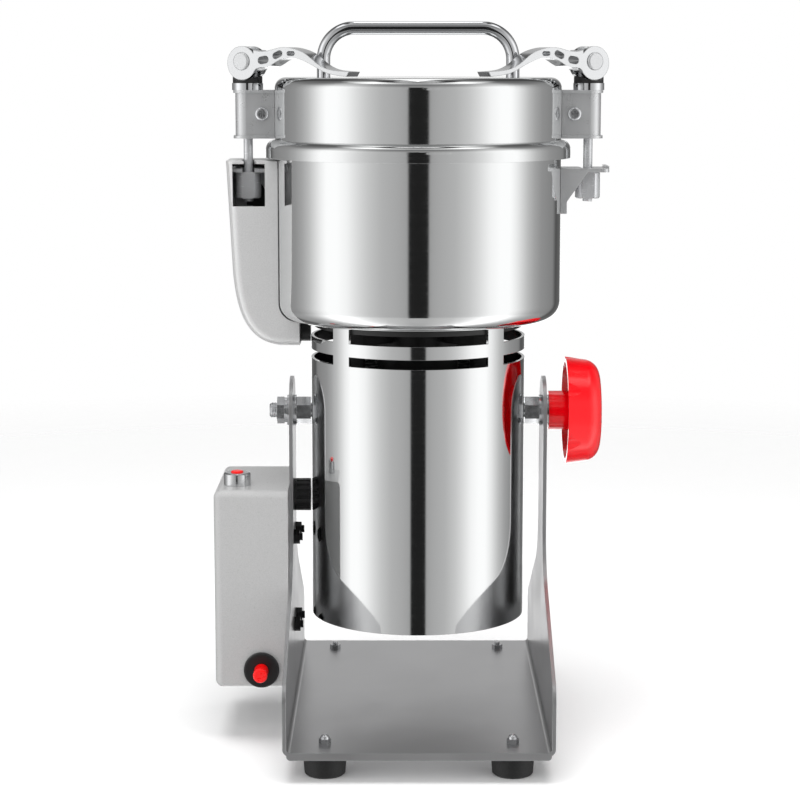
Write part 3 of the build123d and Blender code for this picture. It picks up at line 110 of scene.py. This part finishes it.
# brightness of the ring by angle round from the camera's side, in degrees: a grey gap, the
# soft boxes at 50 to 90, and the dimmer room behind
RING = [(0, 0.46), (8.8, 0.46), (16, 0.52), (29, 0.60), (40, 0.76), (48, 0.94), (59, 1.24),
        (68, 1.36), (78, 1.36), (84, 1.18), (91, 0.91), (98, 0.67), (106, 0.50), (116, 0.375),
        (126, 0.33), (138, 0.28), (146, 0.10), (160, 0.14), (180, 0.3)]
RING_MOST = 1.4         # a ramp holds levels up to 1, so each table is divided by its limit
ring = ramp(sky, share, [(angle / 180, level / RING_MOST) for angle, level in RING])
# the same by angle above the floor: full up to 24 degrees and half at 45, then a bright panel
# at 60 to 71, a dark one at 74 to 79 and a bright ceiling
RISE = [(-90, 1.1), (-50, 1.25), (-28, 1.25), (-20, 1.0), (24, 1.0), (34, 0.70), (45, 0.50),
        (56, 0.45), (60, 1.25), (71, 1.25), (74, 0.12), (79, 0.12), (82, 1.2), (90, 1.2)]
RISE_MOST = 1.3
height = add(sky, "ShaderNodeMath", {0: way["Z"]}, operation="ARCSINE").outputs[0]
height = add(sky, "ShaderNodeMapRange", {
    "Value": height, "From Min": -math.pi / 2, "From Max": math.pi / 2}).outputs[0]
rise = ramp(sky, height, [((angle + 90) / 180, level / RISE_MOST) for angle, level in RISE])
glow = add(sky, "ShaderNodeMix", {"Factor": 1.0, "A": ring, "B": rise}, data_type="RGBA",
           blend_type="MULTIPLY")
# the flag: a black strip 16 degrees wide and 52 high on the camera's side, with soft edges
FLAG_HALF, FLAG_TOP, FLAG_BLACK = 8.1, 26, 0.04
SIDE_SOFT, TOP_SOFT = 0.7, 1
beside = ramp(sky, share, [((FLAG_HALF - SIDE_SOFT) / 180, FLAG_BLACK),
                           ((FLAG_HALF + SIDE_SOFT) / 180, 1.0)])
above = add(sky, "ShaderNodeMath", {0: way["Z"]}, operation="ABSOLUTE").outputs[0]
above = ramp(sky, above, [(math.sin(math.radians(FLAG_TOP + soft)), level)
                          for soft, level in ((-TOP_SOFT, 0.0), (TOP_SOFT, 1.0))])
# straight behind the mill the ring gives way to a floor running on, with a dim room above it
BACK_FROM, BACK_FULL = 167, 172
BACK = [(-90, 1.0), (-3, 1.0), (3, 0.28), (40, 0.28), (60, 1.0)]
behind = ramp(sky, share, [(BACK_FROM / 180, 0.0), (BACK_FULL / 180, 1.0)])
back = ramp(sky, height, [((angle + 90) / 180, level) for angle, level in BACK])
glow = add(sky, "ShaderNodeMix", {"Factor": behind, "A": glow.outputs["Result"], "B": back},
           data_type="RGBA")
open_part = add(sky, "ShaderNodeMath", {0: beside, 1: above}, operation="MAXIMUM").outputs[0]
glow = add(sky, "ShaderNodeMix", {"Factor": 1.0, "A": glow.outputs["Result"], "B": open_part},
           data_type="RGBA", blend_type="MULTIPLY").outputs["Result"]
# the camera itself sees plain white round the mill
POWER = RING_MOST * RISE_MOST
seen = add(sky, "ShaderNodeLightPath").outputs["Is Camera Ray"]
glow = add(sky, "ShaderNodeMix", {"Factor": seen, "A": glow, "B": (1 / POWER,) * 3 + (1,)},
           data_type="RGBA").outputs["Result"]
backdrop = add(sky, "ShaderNodeBackground", {"Color": glow, "Strength": POWER})
add(sky, "ShaderNodeOutputWorld", {"Surface": backdrop.outputs[0]})

FLOOR_HALF = 1.6
floor_mesh = bpy.data.meshes.new("floor")
floor_mesh.from_pydata([(x * FLOOR_HALF, y * FLOOR_HALF, 0)
                        for x, y in ((-1, -1), (1, -1), (1, 1), (-1, 1))], [], [(0, 1, 2, 3)])
floor = bpy.data.objects.new("floor", floor_mesh)
bpy.context.scene.collection.objects.link(floor)
floor.location.z = cad_box[0][2]
floor.visible_glossy = False


def finish(name, colour, metallic=0.0, roughness=0.5):
    """A new material with an even colour; returns it with its tree and its shader."""
    made = bpy.data.materials.new(name)
    made.use_nodes = True
    tree = made.node_tree
    shader = tree.nodes["Principled BSDF"]
    shader.inputs["Base Color"].default_value = linear(colour)
    shader.inputs["Metallic"].default_value = metallic
    shader.inputs["Roughness"].default_value = roughness
    return made, tree, shader


# matt white paper: no gloss, fading out before the edge of the sheet
FADE_FROM, FADE_TO = 0.42, 1.25
paper, tree, shader = finish("matt_white_paper", "#fbfbfb", roughness=0.9)
shader.inputs["Specular IOR Level"].default_value = 0.1
place = add(tree, "ShaderNodeTexCoord").outputs["Object"]
away = add(tree, "ShaderNodeVectorMath", {0: place}, operation="LENGTH").outputs["Value"]
faded = add(tree, "ShaderNodeMapRange", {"Value": away, "From Min": FADE_FROM,
                                         "From Max": FADE_TO})
clear = add(tree, "ShaderNodeBsdfTransparent").outputs[0]
mixed = add(tree, "ShaderNodeMixShader", {0: faded.outputs[0], 1: shader.outputs[0], 2: clear})
tree.links.new(mixed.outputs[0], tree.nodes["Material Output"].inputs["Surface"])
floor_mesh.materials.append(paper)

for name, size, power, spot, tip in (("overhead", 1.1, 22.0, (0, -0.15, 1.7), 0),
                                     ("front", 1.2, 10.0, (-0.3, -1.5, 1.1), 55)):
    lamp_data = bpy.data.lights.new(name, "AREA")
    lamp_data.size = size
    lamp_data.energy = power
    lamp = bpy.data.objects.new(name, lamp_data)
    lamp.location = spot
    lamp.rotation_euler = (math.radians(tip), 0, 0)
    lamp.visible_glossy = False
    bpy.context.scene.collection.objects.link(lamp)


# --- stand -------------------------------------------------------------------
# One strip of 2 mm stainless sheet folded into a U: a floor plate with its front and back
# edges turned down, and two arms with hollow shoulders. The sheet is bright rolled, with a
# fine straight grain and a softer, duller reflection than the polished vessel above it.

MM = 0.001


def dress(material, *names):
    """Gives CAD nodes a material in all their slots."""
    for name in names:
        for index in range(len(nodes[name].data.materials)):
            nodes[name].data.materials[index] = material


def streaks(tree, spacing, stretch, detail=3.0):
    """Noise drawn out into lines: spacing is the size of a line in metres, by axis of stretch."""
    place = add(tree, "ShaderNodeTexCoord").outputs["Object"]
    scale = tuple(1 / (spacing * factor) for factor in stretch)
    place = add(tree, "ShaderNodeMapping", {"Vector": place, "Scale": scale}).outputs[0]
    return add(tree, "ShaderNodeTexNoise", {"Vector": place, "Scale": 1.0, "Detail": detail}
               ).outputs["Fac"]


def between(tree, value, low, high, start=0.3, end=0.7):
    """Spreads a noise value over a range."""
    return add(tree, "ShaderNodeMapRange", {"Value": value, "From Min": start, "From Max": end,
                                            "To Min": low, "To Max": high}).outputs[0]


def relief(tree, shader, value, depth, edge=0.0):
    """Bump of a real depth in metres, on edges rounded by a real radius."""
    bump = add(tree, "ShaderNodeBump", {"Height": value, "Distance": depth, "Strength": 1.0})
    if edge:
        soft = add(tree, "ShaderNodeBevel", {"Radius": edge}, samples=4)
        tree.links.new(soft.outputs[0], bump.inputs["Normal"])
    tree.links.new(bump.outputs[0], shader.inputs["Normal"])


# bright rolled stainless 304: straight grain of about 0.3 mm along the strip, and a cloudy
# change of gloss from handling
rolled, tree, shader = finish("bright_rolled_stainless", "#d6d6d7", 1.0)
grain = streaks(tree, 0.3 * MM, (1, 60, 60))
cloud = streaks(tree, 30 * MM, (1, 1, 1))
gloss = add(tree, "ShaderNodeMath", {0: between(tree, grain, 0.0, 0.03),
                                     1: between(tree, cloud, 0.28, 0.33)}, operation="ADD")
tree.links.new(gloss.outputs[0], shader.inputs["Roughness"])
relief(tree, shader, grain, 0.0006 * MM, 0.35 * MM)
dress(rolled, "stand_frame")

# --- feet --------------------------------------------------------------------
# Moulded black rubber bushes, each held by a zinc-plated screw up through the floor plate
# with a domed nut in front and a plain one at the back.

# filled rubber: matt black, a sandy mould texture of about half a millimetre
rubber, tree, shader = finish("black_moulded_rubber", "#101011", roughness=0.55)
sand = streaks(tree, 0.5 * MM, (1, 1, 1), 2.0)
tree.links.new(between(tree, sand, 0.54, 0.72), shader.inputs["Roughness"])
relief(tree, shader, sand, 0.03 * MM, 0.5 * MM)
dress(rubber, "rubber_feet")

# bright zinc plate on steel: cool grey with a faint cloud and pits a fifth of a millimetre wide
zinc, tree, shader = finish("bright_zinc_plate", "#d4d5d7", 0.9)
cloud = streaks(tree, 2.5 * MM, (1, 1, 1))
pits = streaks(tree, 0.2 * MM, (1, 1, 1), 1.0)
tree.links.new(between(tree, cloud, 0.13, 0.22), shader.inputs["Roughness"])
relief(tree, shader, pits, 0.0008 * MM, 0.2 * MM)
dress(zinc, "foot_screws", "foot_nuts")

# Screw threads, cut where a shank shows past its nut. A thread is a four-sided ridge wound
# round the shank, one for each point of the mesh that carries the tree.
TURN_STEPS, RIDGE_SIDES = 24, 4
CREST = 0.42            # radius of the ridge as a share of the pitch
# A coil is the circle that the middle of the ridge runs on, just inside the nominal size.
thread = bpy.data.node_groups.new("screw_thread", "GeometryNodeTree")
thread.is_modifier = True
socket_of = {}
for name, kind, side_of in (("Shanks", "NodeSocketGeometry", "INPUT"),
                            ("Radius", "NodeSocketFloat", "INPUT"),
                            ("Pitch", "NodeSocketFloat", "INPUT"),
                            ("Length", "NodeSocketFloat", "INPUT"),
                            ("Tilt", "NodeSocketFloat", "INPUT"),
                            ("Metal", "NodeSocketMaterial", "INPUT"),
                            ("Ridges", "NodeSocketGeometry", "OUTPUT")):
    socket_of[name] = thread.interface.new_socket(name, in_out=side_of, socket_type=kind).identifier
given = add(thread, "NodeGroupInput").outputs
turns = add(thread, "ShaderNodeMath", {0: given["Length"], 1: given["Pitch"]},
            operation="DIVIDE").outputs[0]
coil = add(thread, "GeometryNodeCurveSpiral", {
    "Resolution": TURN_STEPS, "Rotations": turns, "Start Radius": given["Radius"],
    "End Radius": given["Radius"], "Height": given["Length"]}).outputs[0]
crest = add(thread, "ShaderNodeMath", {0: given["Pitch"], 1: CREST},
            operation="MULTIPLY").outputs[0]
ridge = add(thread, "GeometryNodeCurvePrimitiveCircle", {
    "Resolution": RIDGE_SIDES, "Radius": crest}).outputs[0]
wound = add(thread, "GeometryNodeCurveToMesh", {"Curve": coil, "Profile Curve": ridge,
                                                "Fill Caps": True}).outputs[0]
lean = add(thread, "ShaderNodeCombineXYZ", {"Y": given["Tilt"]}).outputs[0]
laid = add(thread, "GeometryNodeTransform", {"Geometry": wound, "Rotation": lean}).outputs[0]
copies = add(thread, "GeometryNodeInstanceOnPoints", {"Points": given["Shanks"], "Instance": laid})
solid = add(thread, "GeometryNodeRealizeInstances", {"Geometry": copies.outputs[0]}).outputs[0]
metal = add(thread, "GeometryNodeSetMaterial", {"Geometry": solid, "Material": given["Metal"]})
add(thread, "NodeGroupOutput", {"Ridges": metal.outputs[0]})


def cut_threads(name, body, points, radius, pitch, length, tilt, metal):
    """Ridges on like shanks of one body, from each point along the axis that tilt turns +Z to."""
    carrier = bpy.data.meshes.new(name)
    carrier.from_pydata(points, [], [])
    screw = bpy.data.objects.new(name, carrier)
    bpy.context.scene.collection.objects.link(screw)
    tool = screw.modifiers.new("thread", "NODES")
    tool.node_group = thread
    for label, value in (("Radius", radius), ("Pitch", pitch), ("Length", length),
                         ("Tilt", tilt), ("Metal", metal)):
        tool[socket_of[label]] = value
    ready = screw.evaluated_get(bpy.context.evaluated_depsgraph_get())
    plain = bpy.data.meshes.new_from_object(ready)
    screw.modifiers.clear()
    screw.data = plain
    plain.name = name
    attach(screw, body)


# the back pair of foot screws: M3, showing past plain nuts
M3_COIL, M3_PITCH = 1.4 * MM, 0.5 * MM
FOOT_SCREW_INSET = 2.8 * MM
FOOT_SCREW_SHOWS, FOOT_THREAD = 1.4 * MM, 1.3 * MM
low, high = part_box("foot_screws")
back = [(x, high[1] - FOOT_SCREW_INSET, high[2] - FOOT_SCREW_SHOWS)
        for x in (low[0] + FOOT_SCREW_INSET, high[0] - FOOT_SCREW_INSET)]
cut_threads("foot_screw_threads", "stand", back, M3_COIL, M3_PITCH, FOOT_THREAD, 0.0, zinc)

# --- control box -------------------------------------------------------------
# A deep-drawn steel box with rounded corners on the left arm, powder coated light grey and
# held by four blackened screws from inside the arm.

# powder coat: soft grey, orange peel about 1.2 mm across, a little sheen
powder, tree, shader = finish("grey_powder_coat", "#b4b4b4", roughness=0.32)
peel = streaks(tree, 1.2 * MM, (1, 1, 1), 2.0)
specks = streaks(tree, 0.35 * MM, (1, 1, 1), 0.0)
tone = ramp(tree, specks, [(0.3, 0.43), (0.5, 0.455), (0.7, 0.475)])
tree.links.new(tone, shader.inputs["Base Color"])
tree.links.new(between(tree, peel, 0.27, 0.36), shader.inputs["Roughness"])
relief(tree, shader, peel, 0.006 * MM)
shader.inputs["Coat Weight"].default_value = 0.35
shader.inputs["Coat Roughness"].default_value = 0.12
dress(powder, "control_box_shell")

# blackened steel: near black with the dull shine of oil in its pores
blackened, tree, shader = finish("blackened_steel", "#2a2a2b", 0.8)
pores = streaks(tree, 0.4 * MM, (1, 1, 1))
tree.links.new(between(tree, pores, 0.3, 0.5), shader.inputs["Roughness"])
relief(tree, shader, pores, 0.01 * MM, 0.2 * MM)
dress(blackened, "control_box_screws")

# their M4 tips show inside the arm
M4_COIL, M4_PITCH = 1.9 * MM, 0.7 * MM
BOX_SCREW_INSET = 3.7 * MM
BOX_SCREW_SHOWS, BOX_THREAD = 1.5 * MM, 1.4 * MM
NUT_CORNER = 7.0 / 2 / math.cos(math.pi / 6) * MM   # from an M4 nut's middle to its corner
low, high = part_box("control_box_screws")
tips = [(high[0] - BOX_SCREW_SHOWS, y, z)
        for y in (low[1] + BOX_SCREW_INSET, high[1] - BOX_SCREW_INSET)
        for z in (low[2] + NUT_CORNER, high[2] - NUT_CORNER)]
cut_threads("box_screw_threads", "stand", tips, M4_COIL, M4_PITCH, BOX_THREAD, math.pi / 2,
            blackened)

# The start switch: a turned bezel with a bright plate and a small moulded cap.

# nickel-chrome plate over turned brass: bright, with turning lines drawn 0.25 mm apart so
# that they show
plate, tree, shader = finish("turned_chrome_plate", "#d2d3d4", 1.0)
lines = streaks(tree, 0.25 * MM, (30, 30, 1))
tree.links.new(between(tree, lines, 0.10, 0.26), shader.inputs["Roughness"])
relief(tree, shader, lines, 0.004 * MM, 0.25 * MM)
dress(plate, "start_button_bezel")

# moulded ABS in signal red: glossy, faint sink clouds
signal, tree, shader = finish("signal_red_abs", "#ff0606", roughness=0.3)
sink = streaks(tree, 1.5 * MM, (1, 1, 1), 2.0)
tree.links.new(between(tree, sink, 0.26, 0.32), shader.inputs["Roughness"])
dress(signal, "start_button_cap", "reset_button")

# The overload breaker, the cable glands and the knurled parts are moulded black nylon.

# glass-filled nylon: black, half matt, with a flow grain of about 0.6 mm
nylon, tree, shader = finish("black_nylon", "#161617", roughness=0.45)
flow = streaks(tree, 0.6 * MM, (1, 1, 2), 3.0)
tree.links.new(between(tree, flow, 0.34, 0.52), shader.inputs["Roughness"])
relief(tree, shader, flow, 0.015 * MM, 0.25 * MM)
dress(nylon, "reset_breaker_body", "inlet_gland", "arm_grommet", "cover_bush", "interlock_switch")

# urea terminal strip: ivory, smooth and slightly uneven in colour
urea, tree, shader = finish("ivory_urea", "#dcd8cc", roughness=0.35)
mottle = streaks(tree, 4 * MM, (1, 1, 1))
tree.links.new(between(tree, mottle, 0.28, 0.45), shader.inputs["Roughness"])
dress(urea, "terminal_block")

# --- pivot -------------------------------------------------------------------
# Studs fixed in the motor housing pass out through the arms. The left one carries washers and
# a nut, the right one the clamping knob.

dress(zinc, "pivot_studs", "pivot_hardware")

# the left stud shows M8 thread past its nut, up to the chamfer on its end
M8_COIL, M8_PITCH, STUD_CHAMFER = 3.8 * MM, 1.25 * MM, 0.8 * MM
stud_end, nut_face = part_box("pivot_studs")[0][0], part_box("pivot_hardware")[0][0]
mid = (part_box("pivot_hardware")[0][2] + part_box("pivot_hardware")[1][2]) / 2
cut_threads("stud_threads", "head", [(nut_face, 0, mid)], M8_COIL, M8_PITCH,
            nut_face - stud_end - STUD_CHAMFER, -math.pi / 2, zinc)

# moulded ABS in a clear deep red: high gloss, a soft orange peel 2 mm across
knob_red, tree, shader = finish("glossy_red_abs", "#fb0012", roughness=0.12)
peel = streaks(tree, 2.0 * MM, (1, 1, 1), 1.0)
tree.links.new(between(tree, peel, 0.10, 0.17), shader.inputs["Roughness"])
relief(tree, shader, peel, 0.008 * MM, 0.5 * MM)
shader.inputs["Coat Weight"].default_value = 0.3
shader.inputs["Coat Roughness"].default_value = 0.05
dress(knob_red, "clamp_knob")

# machined brass insert: warm yellow with turning lines
brass, tree, shader = finish("machined_brass", "#d9b36a", 1.0)
lines = streaks(tree, 0.3 * MM, (1, 30, 30))
tree.links.new(between(tree, lines, 0.2, 0.35), shader.inputs["Roughness"])
dress(brass, "knob_insert")

# --- motor housing -----------------------------------------------------------
# A drawn and spun stainless tube, mirror polished, with two rows of vent slots under the bowl
# and a black sheet cover below.

# mirror-polished stainless: the room shows in it almost as in glass, broken only by faint
# polishing lines round the axis, drawn 0.4 mm apart so that they show, and a slight waviness
mirror, tree, shader = finish("mirror_polished_stainless", "#dcdddd", 1.0)
lines = streaks(tree, 0.4 * MM, (60, 60, 1))
wave = streaks(tree, 25 * MM, (1, 1, 2), 1.0)
tree.links.new(between(tree, lines, 0.045, 0.10), shader.inputs["Roughness"])
relief(tree, shader, wave, 0.004 * MM, 0.3 * MM)
dress(mirror, "motor_housing", "grinding_bowl", "bowl_rim", "lid_shell", "lid_inner_plate")

# black stoved paint on sheet: even, half gloss, a light peel; on the upper bracket and the
# fan the same black is painted shade
black_paint_and_shade, tree, shader = finish("black_paint_and_painted_shade", "#1a1a1a", roughness=0.4)
peel = streaks(tree, 1.0 * MM, (1, 1, 1), 2.0)
tree.links.new(between(tree, peel, 0.34, 0.48), shader.inputs["Roughness"])
relief(tree, shader, peel, 0.015 * MM, 0.3 * MM)
dress(black_paint_and_shade, "housing_bottom_cover")
dress(zinc, "head_screws")

# --- motor -------------------------------------------------------------------
# A universal motor: a bare cast bracket below and one above coloured black, a laminated
# field with two coils, brushes on a copper commutator, and a wound armature on one ground
# shaft with its fan. The black on the upper bracket and the fan is painted shade: the dark
# inside the housing seen through the vent slots.

# sand-blasted die casting: pale grey, grainy at about 0.8 mm
casting, tree, shader = finish("blasted_aluminium_casting", "#b9bbbd", 1.0)
blast = streaks(tree, 0.8 * MM, (1, 1, 1))
tree.links.new(between(tree, blast, 0.42, 0.6), shader.inputs["Roughness"])
relief(tree, shader, blast, 0.04 * MM, 0.6 * MM)
dress(casting, "lower_motor_bracket")
# painted shade: the upper bracket and the fan are black for the dark inside the housing behind the
# vents
dress(black_paint_and_shade, "upper_motor_bracket", "cooling_fan")

# stacked electrical steel, lacquered: dark grey sheets, really half a millimetre thick and
# drawn about 3 mm apart
WAVE_RATE = 20          # radians that a band wave turns through in one unit at scale 1
stack, tree, shader = finish("lacquered_laminations", "#5c5d61", 1.0, 0.45)
place = add(tree, "ShaderNodeTexCoord").outputs["Object"]
sheets = add(tree, "ShaderNodeTexWave", {"Vector": place, "Scale": 1 / (0.5 * MM) / WAVE_RATE,
                                         "Distortion": 0.2}, bands_direction="Z").outputs["Fac"]
tree.links.new(between(tree, sheets, 0.35, 0.55, 0.0, 1.0), shader.inputs["Roughness"])
relief(tree, shader, sheets, 0.03 * MM)
dress(stack, "stator_core", "armature_core")

# enamelled copper wire: amber gloss over copper, turns lying side by side, really 0.6 mm and
# drawn about 4 mm apart
winding, tree, shader = finish("enamelled_copper_wire", "#b5602f", 1.0, 0.3)
place = add(tree, "ShaderNodeTexCoord").outputs["Object"]
turns = add(tree, "ShaderNodeTexWave", {"Vector": place, "Scale": 1 / (0.6 * MM) / WAVE_RATE,
                                        "Distortion": 1.5, "Detail": 1.0},
            bands_direction="DIAGONAL").outputs["Fac"]
tree.links.new(between(tree, turns, 0.22, 0.4, 0.0, 1.0), shader.inputs["Roughness"])
relief(tree, shader, turns, 0.15 * MM)
dress(winding, "field_coils", "armature_winding")

# turned copper: pink and bright with a dark brush track
copper, tree, shader = finish("turned_copper", "#c98a68", 1.0)
lines = streaks(tree, 0.3 * MM, (30, 30, 1))
tree.links.new(between(tree, lines, 0.2, 0.4), shader.inputs["Roughness"])
dress(copper, "commutator", "brush_holders")

# pressed graphite: black, grainy, slightly silky
graphite, tree, shader = finish("pressed_graphite", "#242426", 0.3)
grit = streaks(tree, 0.3 * MM, (1, 1, 1))
tree.links.new(between(tree, grit, 0.4, 0.65), shader.inputs["Roughness"])
relief(tree, shader, grit, 0.02 * MM)
dress(graphite, "carbon_brushes")

# ground bearing steel: bright, with grinding lines round the axis
ground, tree, shader = finish("ground_bearing_steel", "#c8c9cb", 1.0)
lines = streaks(tree, 0.25 * MM, (40, 40, 1))
tree.links.new(between(tree, lines, 0.14, 0.28), shader.inputs["Roughness"])
relief(tree, shader, lines, 0.003 * MM, 0.2 * MM)
dress(ground, "motor_shaft", "motor_bearings", "grinding_blades", "blade_hardware", "tooth_ring")

# white food-grade rubber: soft, milky, matt
milky, tree, shader = finish("white_food_rubber", "#dedcd4", roughness=0.55)
soft = streaks(tree, 1.5 * MM, (1, 1, 1))
tree.links.new(between(tree, soft, 0.48, 0.62), shader.inputs["Roughness"])
shader.inputs["Subsurface Weight"].default_value = 0.1
shader.inputs["Subsurface Radius"].default_value = (MM, MM, MM)
dress(milky, "shaft_seal", "lid_seal")

# --- latch brackets and interlock cover --------------------------------------
# Two slotted brackets of pressed stainless on the bowl catch the latch rods. The left one sits
# in a folded cover that hides the interlock switch and the lead down to the motor.

# pressed stainless with a fine tumbled skin: soft grey reflections, no direction
pressed, tree, shader = finish("tumbled_stainless", "#d2d3d4", 0.72)
tumble = streaks(tree, 0.5 * MM, (1, 1, 1))
cloud = streaks(tree, 8 * MM, (1, 1, 1))
gloss = add(tree, "ShaderNodeMath", {0: between(tree, tumble, 0.0, 0.05),
                                     1: between(tree, cloud, 0.25, 0.31)}, operation="ADD")
tree.links.new(gloss.outputs[0], shader.inputs["Roughness"])
relief(tree, shader, tumble, 0.001 * MM, 0.3 * MM)
dress(pressed, "left_latch_bracket", "right_latch_bracket", "latch_clips")

# silver lacquer on the folded cover: aluminium flake under clear coat, even and satin
silver, tree, shader = finish("silver_lacquer", "#c6c6c6", 0.35)
flake = streaks(tree, 0.3 * MM, (1, 1, 1), 0.0)
peel = streaks(tree, 1.4 * MM, (1, 1, 1), 2.0)
tone = ramp(tree, flake, [(0.3, 0.62), (0.5, 0.66), (0.7, 0.70)])
tree.links.new(tone, shader.inputs["Base Color"])
tree.links.new(between(tree, peel, 0.3, 0.4), shader.inputs["Roughness"])
relief(tree, shader, peel, 0.012 * MM, 0.4 * MM)
dress(silver, "interlock_cover")

# --- lid ---------------------------------------------------------------------
# A spun lid with an inner pan and a rubber band; its handle is a bent rod with a nut inside.

# buffed stainless bar: bright, drawn lines along the bar
buffed, tree, shader = finish("buffed_stainless_bar", "#dcdddf", 1.0)
draw = streaks(tree, 0.5 * MM, (20, 1, 20))
tree.links.new(between(tree, draw, 0.07, 0.10), shader.inputs["Roughness"])
dress(buffed, "lid_handle", "latch_rings")
dress(zinc, "handle_nuts", "clip_bolts")
dress(nylon, "cam_seats")

# --- latches -----------------------------------------------------------------
# Each latch is a rod through the lid's clip with a barrel nut below and a cast cam lever above,
# on a riveted pin. Swinging the lever over the cam pulls the nut up against its bracket.

# turned steel with a dull nickel coat, darker in its tool lines
nickel, tree, shader = finish("dull_nickel_plate", "#dcdddf", 0.55)
lines = streaks(tree, 0.3 * MM, (20, 20, 1))
tree.links.new(between(tree, lines, 0.18, 0.28), shader.inputs["Roughness"])
relief(tree, shader, lines, 0.0012 * MM, 0.25 * MM)
dress(nickel, "left_latch_rod", "right_latch_rod", "left_barrel_nut", "right_barrel_nut")

# each rod ends in M5 thread just below its barrel nut
M5_COIL, M5_PITCH = 2.35 * MM, 0.8 * MM
for hand in ("left", "right"):
    rod_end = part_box(hand + "_latch_rod")[0][2]
    low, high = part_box(hand + "_barrel_nut")
    spot = [(low[i] + high[i]) / 2 for i in (0, 1)] + [rod_end]
    cut_threads(hand + "_rod_threads", hand + "_rod", [spot], M5_COIL, M5_PITCH,
                low[2] - rod_end, 0.0, nickel)

# bright plate over a tumbled zinc casting: mirror-like with a slow ripple of about 5 mm
bright, tree, shader = finish("bright_plated_casting", "#d3d4d5", 1.0)
ripple = streaks(tree, 5 * MM, (1, 1, 1), 1.0)
haze = streaks(tree, 0.6 * MM, (1, 1, 1))
tree.links.new(between(tree, haze, 0.08, 0.18), shader.inputs["Roughness"])
relief(tree, shader, ripple, 0.03 * MM, 0.6 * MM)
dress(bright, "left_latch_lever", "right_latch_lever")
dress(pressed, "left_lever_pin", "right_lever_pin")
